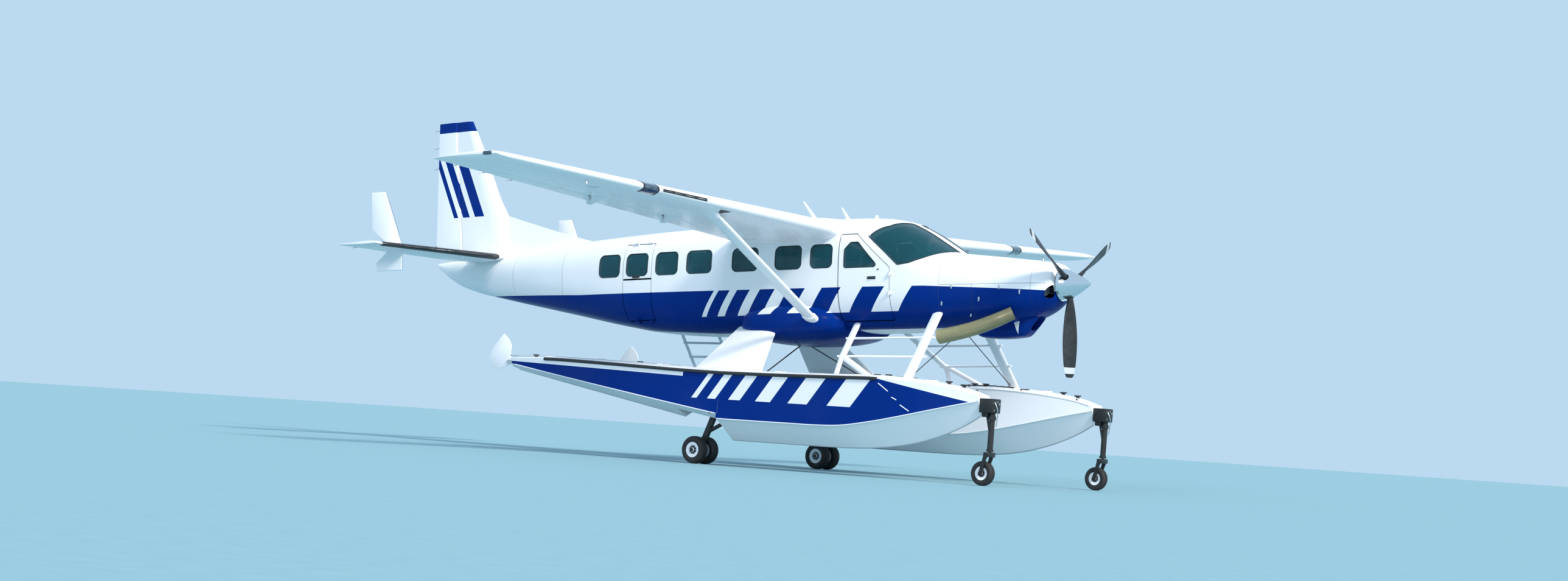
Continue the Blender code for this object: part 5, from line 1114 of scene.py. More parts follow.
rings = []
for y in spaced(-TAIL_SEMI_SPAN, TAIL_SEMI_SPAN, 0.125):
    tip = max(1 - (max(abs(y) - 2.95, 0) / 0.18) ** 2.2, 0.03) ** 0.5
    rings.append([tail_point(y, u, lift) for u, lift in foil_outline(tail_chord(y), TAIL_THICKNESS * tip, 0,
            16)])
plane = loft("tailplane_skin", rings)
cuts = []
for side, sign in SIDES:
    rings, boot = [], []
    for y in (ELEVATOR_Y[0] - 0.12, ELEVATOR_Y[1] + MOVING_GAP):
        front = tail_point(y, ELEVATOR_SHARE).x + 0.040 + MOVING_GAP
        rings.append([Vector((x, sign * y, TAIL_Z + dz)) for x, dz in ((front, -0.2), (-6.4, -0.2),
                (-6.4, 0.2), (front, 0.2))])
    cuts.append(loft("elevator_bay", rings))
    body = "elevator_" + side
    surface = [surface_ring(sign * y, tail_point, tail_chord(y), TAIL_THICKNESS, ELEVATOR_SHARE)
               for y in spaced(*ELEVATOR_Y, 0.5)]
    dressed(loft(body + "_skin", surface), white_paint, body, "white_paint", body)
    outline = [tuple(p) for p in FINLET]
    finlet = prism("finlet_skin_" + side, outline, sign * FINLET_Y - 0.015, sign * FINLET_Y + 0.015)
    dressed(softened(finlet, 0.013, 3), white_paint, "airframe", "white_paint")
    edge = tube("finlet_edge_" + side,
                [(x + 0.001, sign * FINLET_Y, z) for x, z in (FINLET[8], (-4.93, 0.76))]
                + [(x + 0.001, sign * FINLET_Y, z) for x, z in ((-4.935, 0.82), FINLET[1])], 0.0085)
    dressed(edge, chrome, "airframe", "polished_metal")
    for y in spaced(0.42, 2.95, 0.25):
        boot.append([tail_point(sign * y, u, lift) for u, lift in
                     foil_outline(tail_chord(y), TAIL_THICKNESS, 0.0018, 10, 0.075)])
    dressed(loft("ice_boot_" + side, boot), boot_rubber, "airframe", "black_metal")
cuts.append(prism("middle", rectangle(-6.4, -5.42, TAIL_Z - 0.3, TAIL_Z + 0.3), -0.181, 0.181))
dressed(shaped(plane, "DIFFERENCE", *cuts), white_paint, "airframe", "white_paint", "stabilizer")

# Floats: two riveted hulls with a step below the wing. Only their outboard sides are blue,
# with the same row of white bars, under black rub rails and between white decks and bottoms.
# x, deck edge z, deck crown, deck half width, chine z, chine half width, keel z
FLOAT_Y = 1.61
FORE_STATIONS = (
    (1.30, -1.200, 0.050, 0.420, -1.885, 0.450, -2.185),
    (2.40, -1.190, 0.050, 0.420, -1.885, 0.450, -2.185),
    (3.43, -1.172, 0.050, 0.415, -1.872, 0.445, -2.178),
    (4.00, -1.162, 0.050, 0.400, -1.788, 0.425, -2.140),
    (4.50, -1.178, 0.045, 0.370, -1.680, 0.385, -2.060),
    (4.95, -1.212, 0.040, 0.315, -1.570, 0.320, -1.930),
    (5.35, -1.262, 0.030, 0.240, -1.470, 0.235, -1.760),
    (5.64, -1.330, 0.020, 0.160, -1.400, 0.150, -1.590))
AFT_STATIONS = (
    (-3.03, -1.150, 0.015, 0.120, -1.233, 0.110, -1.301),
    (-2.20, -1.128, 0.030, 0.230, -1.343, 0.225, -1.440),
    (-1.20, -1.145, 0.040, 0.330, -1.476, 0.340, -1.608),
    (-0.20, -1.170, 0.050, 0.395, -1.610, 0.415, -1.776),
    (0.60, -1.190, 0.050, 0.415, -1.716, 0.445, -1.910),
    (1.30, -1.200, 0.050, 0.420, -1.809, 0.450, -2.027))
WELL_X, WELL_HALF, WELL_TOP_Z = (0.42, 1.16), 0.23, -1.560
DECK_SHARES = (0.0, 0.2, 0.4, 0.6, 0.75, 0.88, 0.96, 1.0)
SIDE_STEPS, BOTTOM_STEPS = 6, 8
BOW_DASHES = (((4.112, -1.236), (4.28, -1.344)), ((4.346, -1.424), (4.428, -1.459)),
              ((4.493, -1.526), (4.638, -1.607)))
FLOAT_BARS = ((3.62, 0.40), (2.90, 0.34), (2.28, 0.27), (1.76, 0.21), (1.34, 0.15), (1.02, 0.10))


def level_point(tree):
    """The place on the floats, in the level frame below the fuselage."""
    moved = add_node(tree, "Mapping", {"Vector": object_point(tree), "Location": -LEVEL.to_translation()})
    return add_node(tree, "SeparateXYZ", {0: moved.outputs[0]}).outputs


float_paint, tree, shader = new_material("float_paint")
x, y, z = level_point(tree)[:3]
outboard = add_node(tree, "Attribute", attribute_name="outboard").outputs["Fac"]
bow_line = sums(tree, "LESS_THAN", sums(tree, "MULTIPLY_ADD", x, 0.178, z), -0.444)
bars = sums(tree, "MULTIPLY", slashes(tree, sums(tree, "MULTIPLY_ADD", z, -BAR_LEAN, x),
                                      [(c + 1.05, w) for c, w in FLOAT_BARS]),
            sums(tree, "GREATER_THAN", z, -1.60))
band = sums(tree, "MULTIPLY", sums(tree, "LESS_THAN", x, 0.62),
            sums(tree, "GREATER_THAN", sums(tree, "MULTIPLY_ADD", x, 0.025, z), -1.27))
blue_part = sums(tree, "MULTIPLY", sums(tree, "MULTIPLY", sums(tree, "GREATER_THAN", outboard, 0.5),
                                        bow_line),
                 sums(tree, "SUBTRACT", 1.0, sums(tree, "MAXIMUM", bars, band)))
paint_finish(tree, shader, mixed(tree, blue_part, WHITE, BLUE))


def float_ring(station, y0):
    """A float section: crowned deck, slab sides and a slightly hollow vee bottom."""
    x, deck, crown, deck_half, chine, chine_half, keel = station
    half = [(deck_half * t, deck + crown * (1 - t ** 3) ** 0.9) for t in DECK_SHARES]
    half += [(deck_half + (chine_half - deck_half) * k / SIDE_STEPS, deck + (chine - deck) * k / SIDE_STEPS)
             for k in range(1, SIDE_STEPS + 1)]
    for k in range(BOTTOM_STEPS + 1):
        s = k / BOTTOM_STEPS
        half.append((chine_half * 0.94 * (1 - s), chine - 0.010 + (keel - chine + 0.010) * s ** 1.08))
    return [Vector((x, y0 + y, z)) for y, z in half + [(-y, z) for y, z in reversed(half[1:-1])]]


def float_part(name, stations, y0, sign, step=0.10):
    """A part of a float, its outboard side marked for the paint."""
    rings = [float_ring(station_at(stations, x), y0) for x in spaced(stations[0][0], stations[-1][0], step)]
    made = loft(name, rings)
    count = len(rings[0])
    first = len(DECK_SHARES) - 1
    if sign < 0:
        first = count - first - SIDE_STEPS
    marks = made.data.attributes.new("outboard", "FLOAT", "FACE")
    for face in range(2, len(made.data.polygons)):
        marks.data[face].value = 1.0 if first <= (face - 2) % count < first + SIDE_STEPS else 0.0
    return made


def float_edge(part, y0, sign, x0, x1, out, lift=0.0):
    """A line along a float's deck edge, chine or keel, a little outside it."""
    points = []
    for x in spaced(x0, x1, 0.10):
        station = station_at(FORE_STATIONS if x > 1.30 else AFT_STATIONS, x)
        y, z = {"deck": (station[3], station[1]), "chine": (station[5], station[4]),
                "keel": (0.0, station[6])}[part]
        points.append(Vector((x, y0 + sign * (y + out), z + lift)))
    return points


def slab_side(x, z, y0, sign, out):
    """A point a little outside a float's slab side, at a height."""
    deck, deck_half, chine, chine_half = [station_at(FORE_STATIONS, x)[k] for k in (1, 3, 4, 5)]
    y = deck_half + (chine_half - deck_half) * (deck - z) / (deck - chine)
    return Vector((x, y0 + sign * (y + out), z))


black_trim = grained("black_trim", 70.0, 4.0, (0.010, 0.010, 0.012), (0.035, 0.035, 0.038), (0.38, 0.6),
                     (0.1, 0.001))

bare_alloy = grained("bare_alloy", 60.0, 5.0, (0.50, 0.52, 0.54), (0.68, 0.70, 0.72), (0.26, 0.46),
                     (0.1, 0.001), sockets={"Metallic": 0.9})

for side, sign in SIDES:
    y0 = sign * FLOAT_Y
    tucked = AFT_STATIONS + ((1.32,) + AFT_STATIONS[-1][1:3] + (0.418,) + AFT_STATIONS[-1][4:5] + (0.448,)
                             + AFT_STATIONS[-1][6:],)
    body = shaped(float_part("float_skin_" + side, FORE_STATIONS, y0, sign), "UNION",
                  float_part("aft", tucked, y0, sign))
    shaped(body, "DIFFERENCE", block("well", (WELL_X[0], y0 - WELL_HALF, -2.4),
                                     (WELL_X[1], y0 + WELL_HALF, WELL_TOP_Z)))
    dressed(body, float_paint, "airframe", "blue_paint", "float_" + side, place=LEVEL)
    brackets = [block("stern_bracket", (-3.107, y0 - 0.022, z0), (-3.02, y0 + 0.022, z1), 0.003)
                for z0, z1 in ((-1.262, -1.245), (-1.165, -1.145))]
    dressed(joined("stern_brackets_" + side, brackets), white_paint, "airframe", "white_paint", place=LEVEL)
    rail = tube("rub_rail_" + side, float_edge("deck", y0, sign, -2.26, 4.08, 0.006, -0.010), 0.026, False, 3)
    dressed(rail, black_trim, "airframe", "black_metal", place=LEVEL)
    strips = [tube("strip", float_edge("deck", y0, -sign, -2.95, 5.60, 0.002, -0.006), 0.008)]
    strips += [tube("strip", float_edge("chine", y0, way, x0, x1, 0.0, -0.004), 0.008)
               for way in (sign, -sign) for x0, x1 in ((-2.95, 1.28), (1.32, 5.60))]
    for ends in BOW_DASHES:
        strips.append(tube("dash", [slab_side(x, z, y0, sign, 0.001) for x, z in ends], 0.007, False, 2))
    dressed(joined("float_strips_" + side, strips), white_paint, "airframe", "white_paint", place=LEVEL)
    keels = [tube("keel", float_edge("keel", y0, sign, x0, x1, 0.0, -0.002), 0.010)
             for x0, x1 in ((-2.95, 0.41), (1.32, 5.60))]
    dressed(joined("keel_strips_" + side, keels), bare_alloy, "airframe", "bare_metal", place=LEVEL)

# Landing gear: twin main wheels on fixed trailing arms that hang from wells behind the step,
# and a castering nose wheel on a short leg below each bow.
MAIN_AXLE, MAIN_RADIUS, MAIN_WIDTH, MAIN_HALF_TRACK = (0.72, -2.375), 0.205, 0.150, 0.135
MAIN_PIVOT = (1.02, -1.66)
NOSE_AXLE, NOSE_RADIUS, NOSE_WIDTH = (5.70, -2.407), 0.173, 0.125
NOSE_STEM_X, NOSE_STEM_Z = 5.79, (-2.10, -1.95)

tyre_rubber = grained("tyre_rubber", 90.0, 5.0, (0.008, 0.008, 0.009), (0.030, 0.029, 0.028), (0.6, 0.85),
                      (0.25, 0.001))

gear_paint = grained("gear_paint", 45.0, 5.0, (0.006, 0.006, 0.007), (0.022, 0.021, 0.020), (0.30, 0.55),
                     (0.12, 0.001))


stud_nodes = bpy.data.node_groups.new("studs", "GeometryNodeTree")
stud_inputs = {}
for label, kind in (("Geometry", "Geometry"), ("Radius", "Float"), ("Height", "Float"), ("Sides", "Int"),
                    ("Turn", "Vector"), ("Material", "Material")):
    stud_inputs[label] = stud_nodes.interface.new_socket(label, in_out="INPUT", socket_type="NodeSocket"
            + kind)
stud_nodes.interface.new_socket("Geometry", in_out="OUTPUT", socket_type="NodeSocketGeometry")
given, result, stud, placed, real, coated = (
    stud_nodes.nodes.new(kind) for kind in ("NodeGroupInput", "NodeGroupOutput", "GeometryNodeMeshCylinder",
                                            "GeometryNodeInstanceOnPoints", "GeometryNodeRealizeInstances",
                                            "GeometryNodeSetMaterial"))
for start, leaving, end, entering in (
        (given, "Radius", stud, "Radius"), (given, "Height", stud, "Depth"),
        (given, "Sides", stud, "Vertices"), (given, "Geometry", placed, "Points"),
        (stud, "Mesh", placed, "Instance"), (given, "Turn", placed, "Rotation"),
        (placed, "Instances", real, "Geometry"), (real, "Geometry", coated, "Geometry"),
        (given, "Material", coated, "Material"), (coated, "Geometry", result, "Geometry")):
    stud_nodes.links.new(start.outputs[leaving], end.inputs[entering])


def studs(name, feet, way, radius, height, sides, material):
    """Small cylinders that stand on points, all one way, made by the stud nodes."""
    way = Vector(way)
    made = mesh_object(name, [Vector(foot) + way * height / 2 for foot in feet], [])
    row = made.modifiers.new("studs", "NODES")
    row.node_group = stud_nodes
    turn = Vector((0, 0, 1)).rotation_difference(way).to_euler()
    for label, value in (("Radius", radius), ("Height", height), ("Sides", sides), ("Turn", tuple(turn)),
                         ("Material", material)):
        row[stud_inputs[label].identifier] = value
    return shaped(made, "UNION")


RIM_OUTLINE = ((0.30, 0.31), (0.62, 0.31), (0.76, 0.35), (0.80, 0.50), (0.84, 0.52), (0.84, 0.56),
               (0.70, 0.55), (0.30, 0.49))
WHEEL_BOLTS = 8
HUB_OUTLINE = ((0.25, 0.12), (0.78, 0.12), (0.78, 0.22), (0.62, 0.24), (0.58, 0.315), (0.25, 0.315))


def wheel(name, radius, half, centre, body, node):
    """A tyre with three grooves on a white rim, round a dark hub with its cap and bolts."""
    side_line = ((0.58, 0.52), (0.80, 0.56), (0.95, 0.66), (1.0, 0.80), (0.96, 0.89), (0.82, 0.955),
                 (0.66, 0.985), (0.50, 0.996), (0.47, 0.975), (0.40, 0.975), (0.37, 1.0), (0.10, 1.0),
                 (0.07, 0.978))
    tyre = [(half * a, radius * r) for a, r in side_line]
    tyre = [(half * 0.40, radius * 0.49)] + tyre + [(-a, r) for a, r in reversed(tyre)] + [(-half * 0.40,
            radius * 0.49)]
    dressed(turned(name + "_tyre", tyre + [tyre[0]], centre, (0, 1, 0), 72), tyre_rubber, body,
            "tyre_rubber", node, place=LEVEL)
    for part, outline, material, slot in (("_rim", RIM_OUTLINE, white_paint, "white_paint"),
            ("_hub", HUB_OUTLINE, gear_paint, "black_metal")):
        ring = [(half * a, radius * r) for a, r in outline]
        ring += [(-a, r) for a, r in reversed(ring)]
        dressed(turned(name + part, ring + [ring[0]], centre, (0, 1, 0), 64), material, body, slot,
                place=LEVEL)
    caps = []
    for face in (-1, 1):
        caps.append(turned("cap", [(0.90 * half, 0), (0.90 * half, radius * 0.10),
                                   (0.84 * half, radius * 0.15), (0.79 * half, radius * 0.17),
                                   (0.79 * half, 0)], centre, (0, face, 0), 32))
        turns = [2 * pi * k / WHEEL_BOLTS for k in range(WHEEL_BOLTS)]
        spots = [Vector(centre) + Vector((cos(t) * radius * 0.27, face * half * 0.61, sin(t) * radius * 0.27))
                 for t in turns]
        caps.append(studs("bolts", spots, (0, face, 0), 0.0065, 0.010, 6, bare_alloy))
    dressed(joined(name + "_bolts", caps), bare_alloy, body, "bare_metal", place=LEVEL)


for side, sign in SIDES:
    y0 = sign * FLOAT_Y
    pivot, axle = Vector((MAIN_PIVOT[0], y0, MAIN_PIVOT[1])), Vector((MAIN_AXLE[0], y0, MAIN_AXLE[1]))
    across = Vector((0, 1, 0))
    parts = [tube("pivot", (pivot - across * WELL_HALF, pivot + across * WELL_HALF), 0.035, False, 4),
             tube("axle", (axle - across * 0.228, axle + across * 0.228), 0.022, False, 4),
             tube("elbow", (axle - across * 0.052, axle + across * 0.052), 0.048, False, 4),
             tube("collar", (pivot - across * 0.070, pivot + across * 0.070), 0.052, False, 4)]
    arm = [[Vector((p.x + dx, p.y + dy * w, p.z + dz)) for dx, dy, dz in ((0.050, -0.040, 0.020),
            (0.050, 0.040, 0.020), (-0.050, 0.040, -0.020), (-0.050, -0.040, -0.020))]
            for p, w in ((pivot, 1.0), (pivot.lerp(axle, 0.5), 0.8), (axle, 0.9))]
    parts.append(loft("arm", arm))
    parts.append(tube("damper", (pivot.lerp(axle, 0.62) + Vector((0.05, 0, 0.03)),
                                 Vector((1.13, y0, -1.95))), 0.030, False, 4))
    dressed(joined("main_arm_" + side, parts), gear_paint, "airframe", "black_metal", "main_leg_" + side,
            place=LEVEL)
    rods = [tube("rod", (Vector((1.13, y0, -1.95)), Vector((1.15, y0, -1.80))), 0.016, False, 3),
            tube("brake_line",
                 smooth_path([pivot + Vector((-0.05, 0.05, 0.0)), pivot.lerp(axle, 0.3)
                              + Vector((-0.075, 0.045, 0)), pivot.lerp(axle, 0.7)
                              + Vector((-0.075, 0.035, 0)), axle + Vector((-0.05, 0.04, 0.04))], 6), 0.005)]
    dressed(joined("main_arm_rods_" + side, rods), bare_alloy, "airframe", "bare_metal", place=LEVEL)
    for place, shift in (("inner", -sign), ("outer", sign)):
        node = "main_wheel_%s_%s" % (side, place)
        wheel(node, MAIN_RADIUS, MAIN_WIDTH / 2, (MAIN_AXLE[0], y0 + shift * MAIN_HALF_TRACK, MAIN_AXLE[1]),
              "main_wheels_" + side, node)

    stem = Vector((NOSE_STEM_X, y0, NOSE_STEM_Z[0]))
    parts = [block("bow_box", (5.635, y0 - 0.11, -1.56), (5.86, y0 + 0.11, -1.36), 0.012),
             tube("leg", ((5.80, y0, -1.47), stem), 0.042, False, 5),
             tube("collar", (stem + Vector((0, 0, 0.004)), stem + Vector((0, 0, 0.035))), 0.052, False, 5),
             tube("collar", ((5.797, y0, -1.66), (5.798, y0, -1.60)), 0.055, False, 5),
             block("gear_lug", (5.66, y0 - 0.07, -1.62), (5.76, y0 - 0.03, -1.55), 0.006),
             block("gear_lug", (5.66, y0 + 0.03, -1.62), (5.76, y0 + 0.07, -1.55), 0.006),
             tube("drag_brace", ((5.71, y0, -1.60), (5.79, y0, -1.92)), 0.016, False, 3)]
    dressed(joined("nose_leg_forging_" + side, parts), gear_paint, "airframe", "black_metal",
            "nose_leg_" + side, place=LEVEL)
    fittings = [tube("fitting", ((5.855, y0 + dy, z), (5.872, y0 + dy, z)), r, False, 3)
                for dy, z, r in ((-0.06, -1.42, 0.020), (0.05, -1.43, 0.016), (0.0, -1.40, 0.011),
                                 (-0.075, -1.52, 0.010), (0.075, -1.52, 0.010))]
    fittings.append(tube("hose",
                         smooth_path([Vector((5.868, y0 - 0.06, -1.42)), Vector((5.895, y0 - 0.04, -1.50)),
                                      Vector((5.87, y0 + 0.02, -1.60)), Vector((5.84, y0 + 0.045, -1.75))],
                                     6), 0.007))
    dressed(joined("nose_leg_fittings_" + side, fittings), bare_alloy, "airframe", "bare_metal", place=LEVEL)
    arm_y = NOSE_WIDTH / 2 + 0.022
    parts = [tube("stem", (Vector((NOSE_STEM_X, y0, NOSE_STEM_Z[0] + 0.02)),
                           Vector((NOSE_STEM_X, y0, NOSE_STEM_Z[0] - 0.06))), 0.020, False, 4),
             block("bridge", (NOSE_STEM_X - 0.05, y0 - arm_y - 0.01, NOSE_STEM_Z[0] - 0.075),
                   (NOSE_STEM_X + 0.04, y0 + arm_y + 0.01, NOSE_STEM_Z[0] - 0.008), 0.008),
             tube("axle", ((NOSE_AXLE[0], y0 - arm_y - 0.012, NOSE_AXLE[1]),
                           (NOSE_AXLE[0], y0 + arm_y + 0.012, NOSE_AXLE[1])), 0.012, False, 3)]
    for edge in (-1, 1):
        rings = [[Vector((x + dx * w, y0 + edge * arm_y + dy, z))
                for dx, dy in ((-0.03, -0.0095), (0.03, -0.0095), (0.03, 0.0095), (-0.03, 0.0095))]
                for x, z, w in ((NOSE_STEM_X - 0.01, NOSE_STEM_Z[0] - 0.04, 1.1),
                (NOSE_STEM_X - 0.045, -2.26, 0.85), (NOSE_AXLE[0], NOSE_AXLE[1] - 0.03, 1.0))]
        parts.append(loft("fork_arm", rings))
        parts.append(tube("axle_nut", ((NOSE_AXLE[0], y0 + edge * (arm_y + 0.010), NOSE_AXLE[1]),
                                       (NOSE_AXLE[0], y0 + edge * (arm_y + 0.022), NOSE_AXLE[1])), 0.020,
                          False, 1))
    dressed(joined("nose_fork_forging_" + side, parts), gear_paint, "nose_fork_" + side, "black_metal",
            "nose_fork_" + side, place=LEVEL)
    wheel("nose_wheel_" + side, NOSE_RADIUS, NOSE_WIDTH / 2, (NOSE_AXLE[0], y0, NOSE_AXLE[1]),
          "nose_wheel_" + side, "nose_wheel_" + side)

# Water rudders: thin white sheet blades on pins behind the sterns. Bare alloy posts steer them
# by cables, and they are raised here.
WATER_PIVOT, WATER_STEER_X = (-3.180, -1.210), -3.085
WATER_OUTLINE = ((-3.326, -0.765), (-3.45, -0.90), (-3.55, -1.02), (-3.600, -1.138), (-3.575, -1.24),
                 (-3.48, -1.31), (-3.36, -1.322), (-3.26, -1.29), (-3.150, -1.25), (-3.135, -1.21),
                 (-3.150, -1.15), (-3.165, -1.05), (-3.150, -0.960), (-3.21, -0.86))
for side, sign in SIDES:
    y0 = sign * FLOAT_Y
    blade = prism("water_rudder_blade_" + side, rounded(WATER_OUTLINE, 0.03, 3), y0 - 0.008, y0 + 0.008)
    body = "water_rudder_" + side
    dressed(softened(blade, 0.005, 2), white_paint, body, "white_paint", body, place=LEVEL)
    parts = [tube("post", ((WATER_STEER_X, y0, -1.28), (WATER_STEER_X, y0, -1.10)), 0.014, False, 4),
             block("web", (WATER_STEER_X - 0.032, y0 - 0.02, -1.24), (WATER_STEER_X, y0 + 0.02, -1.18),
                   0.003),
             tube("pin", ((WATER_PIVOT[0], y0 - 0.028, WATER_PIVOT[1]),
                          (WATER_PIVOT[0], y0 + 0.028, WATER_PIVOT[1])), 0.008, False, 3),
             tube("tiller", ((WATER_STEER_X, y0 - 0.10, -1.107), (WATER_STEER_X, y0 + 0.10, -1.107)), 0.007,
                  False, 3)]
    for edge in (-1, 1):
        parts.append(block("cheek", (WATER_PIVOT[0] - 0.03, y0 + edge * 0.017 - 0.004, -1.24),
                           (WATER_STEER_X, y0 + edge * 0.017 + 0.004, -1.18)))
    dressed(joined("rudder_post_fittings_" + side, parts), bare_alloy, "rudder_post_" + side, "bare_metal",
            "rudder_post_" + side, place=LEVEL)

# Cabin interior: five rows of foam seats in cloth on black plastic frames and floor rails, and
# the moulded panel with its dials, its hood and two yokes.
SEAT_X = (2.45, 1.45, 0.65, -0.15, -0.95)
CABIN_FLOOR_Z = -0.40

seat_cloth, tree, shader = new_material("seat_cloth")
weave = noise(tree, object_point(tree), 120.0, 4.0)
fade = noise(tree, object_point(tree), 3.0, 3.0)
tree.links.new(mixed(tree, ramp(tree, fade, 0.35, 0.65), (0.30, 0.26, 0.20), (0.40, 0.35, 0.28)),
               shader.inputs["Base Color"])
shader.inputs["Roughness"].default_value = 0.9
bumped(tree, shader, weave, 0.4, 0.002)

dark_plastic = grained("dark_plastic", 80.0, 4.0, (0.015, 0.015, 0.017), (0.040, 0.040, 0.043), (0.5, 0.7))

cushions, frames = [], []
for x in SEAT_X:
    for side, sign in SIDES:
        y = sign * 0.36
        cushions.append(block("cushion", (x + 0.02, y - 0.20, -0.13), (x + 0.48, y + 0.20, 0.01), 0.045, 3))
        back = prism("back", ((x - 0.10, 0.58), (x - 0.01, 0.58), (x + 0.10, -0.03), (x + 0.0, -0.05)),
                     y - 0.19, y + 0.19)
        cushions.append(softened(back, 0.035, 3))
        cushions.append(block("headrest", (x - 0.125, y - 0.11, 0.60), (x - 0.035, y + 0.11, 0.76), 0.030, 3))
        frames.append(block("pedestal", (x + 0.04, y - 0.17, CABIN_FLOOR_Z + 0.02),
                            (x + 0.44, y + 0.17, -0.125), 0.02))
        frames.append(tube("headrest_post", ((x - 0.075, y, 0.52), (x - 0.08, y, 0.62)), 0.012))
frames += [block("rail", (-1.35, y - 0.02, CABIN_FLOOR_Z), (3.05, y + 0.02, CABIN_FLOOR_Z + 0.03))
           for y in (-0.40, 0.40)]
dressed(joined("seat_cushions", cushions), seat_cloth, "airframe", "seat_cloth", "cabin_seats")
dressed(joined("seat_frames", frames), dark_plastic, "airframe", "cabin_black")

console = [block("panel", (3.62, -0.62, -0.10), (3.80, 0.62, 0.30), 0.02),
           block("glareshield", (3.52, -0.60, 0.29), (3.86, 0.60, 0.335), 0.018),
           block("pedestal", (3.45, -0.12, CABIN_FLOOR_Z), (3.75, 0.12, 0.0), 0.015)]
dials = []
for side, sign in SIDES:
    console.append(tube("yoke_shaft", ((3.62, sign * 0.34, 0.04), (3.40, sign * 0.34, 0.08)), 0.014))
    console.append(tube("yoke",
            smooth_path([Vector((3.40, sign * 0.34 + dy, z)) for dy, z in ((-0.15, 0.19), (-0.16, 0.10),
            (-0.10, 0.055), (0.0, 0.07), (0.10, 0.055), (0.16, 0.10), (0.15, 0.19))], 4), 0.014))
    for row in range(2):
        for column in range(3):
            spot = Vector((3.622, sign * 0.34 + (column - 1) * 0.115, 0.215 - row * 0.115))
            dials.append(turned("dial", ((0, 0), (0, 0.040), (0.012, 0.048), (0.012, 0.052),
                    (-0.004, 0.054)), spot, (-1, 0, 0), 24))
dressed(joined("instrument_panel_console", console), dark_plastic, "airframe", "cabin_black",
        "instrument_panel")
dressed(joined("instrument_dials", dials), black_trim, "airframe", "black_metal")

# Roof and belly fittings: two blade antennas, the beacon and a blade under the belly, all
# moulded and painted white but for the beacon's lens; the roof's pieces are each screwed to the skin on its
# own foot.
beacon_glass = grained("beacon_glass", 60.0, 3.0, (0.66, 0.70, 0.74), (0.80, 0.83, 0.86), 0.08)

lamp_glass = grained("lamp_glass", 25.0, 3.0, (0.012, 0.030, 0.060), (0.050, 0.085, 0.130), 0.06,
                     sockets={"Coat Weight": 1.0})

masts = []
for (x0, z0), (x1, z1), chord in (((1.536, 1.12), (1.255, 1.473), 0.10),
                                  ((2.12, 1.12), (1.976, 1.340), 0.085)):
    rings = []
    for t in spaced(0.0, 1.0, 0.1):
        half = chord / 2 * (1 - 0.62 * t) * (1 if t < 0.95 else 0.6)
        x, z = x0 + (x1 - x0) * t, z0 + (z1 - z0) * t
        rings.append([Vector((x + half * cos(2 * pi * k / 20), half * 0.16 * sin(2 * pi * k / 20), z))
                      for k in range(20)])
    masts.append(loft("mast", rings))
    masts.append(turned("mast_foot", ((0.014, 0), (0.014, 0.034), (0.004, 0.052), (0, 0.055),
                                      (-0.02, 0.055)), (x0, 0, z0 + 0.002), (0, 0, 1), 32))
masts.append(turned("beacon_base", ((0.012, 0.040), (0.010, 0.055), (-0.02, 0.060)), (2.62, 0, 1.128),
                    (0, 0, 1), 40))
rings = [[Vector((0.55 - 0.12 * t + half * cos(a), half * 0.14 * sin(a), -0.655 - 0.20 * t))
        for a in [2 * pi * k / 20 for k in range(20)]] for t, half in ((0, 0.075), (0.5, 0.06),
        (0.9, 0.045), (1.0, 0.03))]
masts.append(loft("belly_blade", rings))
dressed(joined("antennas", masts), white_paint, "airframe", "white_paint")
dome = [(0.055 * sin(a), 0.036 * cos(a)) for a in [pi / 2 * k / 8 for k in range(8, -1, -1)]]
dressed(turned("beacon_lens", [(0.055, 0)] + dome[1:] + [(-0.01, 0.036)], (2.62, 0, 1.140), (0, 0, 1), 40),
        beacon_glass, "airframe", "tinted_glass")

# Wing fittings: landing lights in the leading edge, a dark strip beside them, tip lamps,
# fuel caps, access panels, an air vent by the strut, a pitot tube and static wicks.


def edge_patch(name, y0, y1, nose, grow):
    """A thin shell over the wing's leading edge."""
    rings = [[wing_point(y, u, lift) for u, lift in foil_outline(wing_chord(y), wing_thickness(y), grow, 10,
            nose)] for y in spaced(y0, y1, 0.25)]
    return loft(name, rings)


def wing_skin(y, u, side):
    """A point on the wing's upper or lower skin, and the way out of it."""
    at = wing_point(y, u, side * (foil_half(u, wing_thickness(y)) * wing_chord(y) + 0.002))
    ahead = wing_point(y, u - 0.02, side * (foil_half(u - 0.02, wing_thickness(y)) * wing_chord(y) + 0.002))
    out = wing_point(y + 0.1, u, side * (foil_half(u, wing_thickness(y + 0.1)) * wing_chord(y + 0.1) + 0.002))
    normal = (ahead - at).cross(out - at).normalized()
    return at, normal if normal.z * side > 0 else -normal


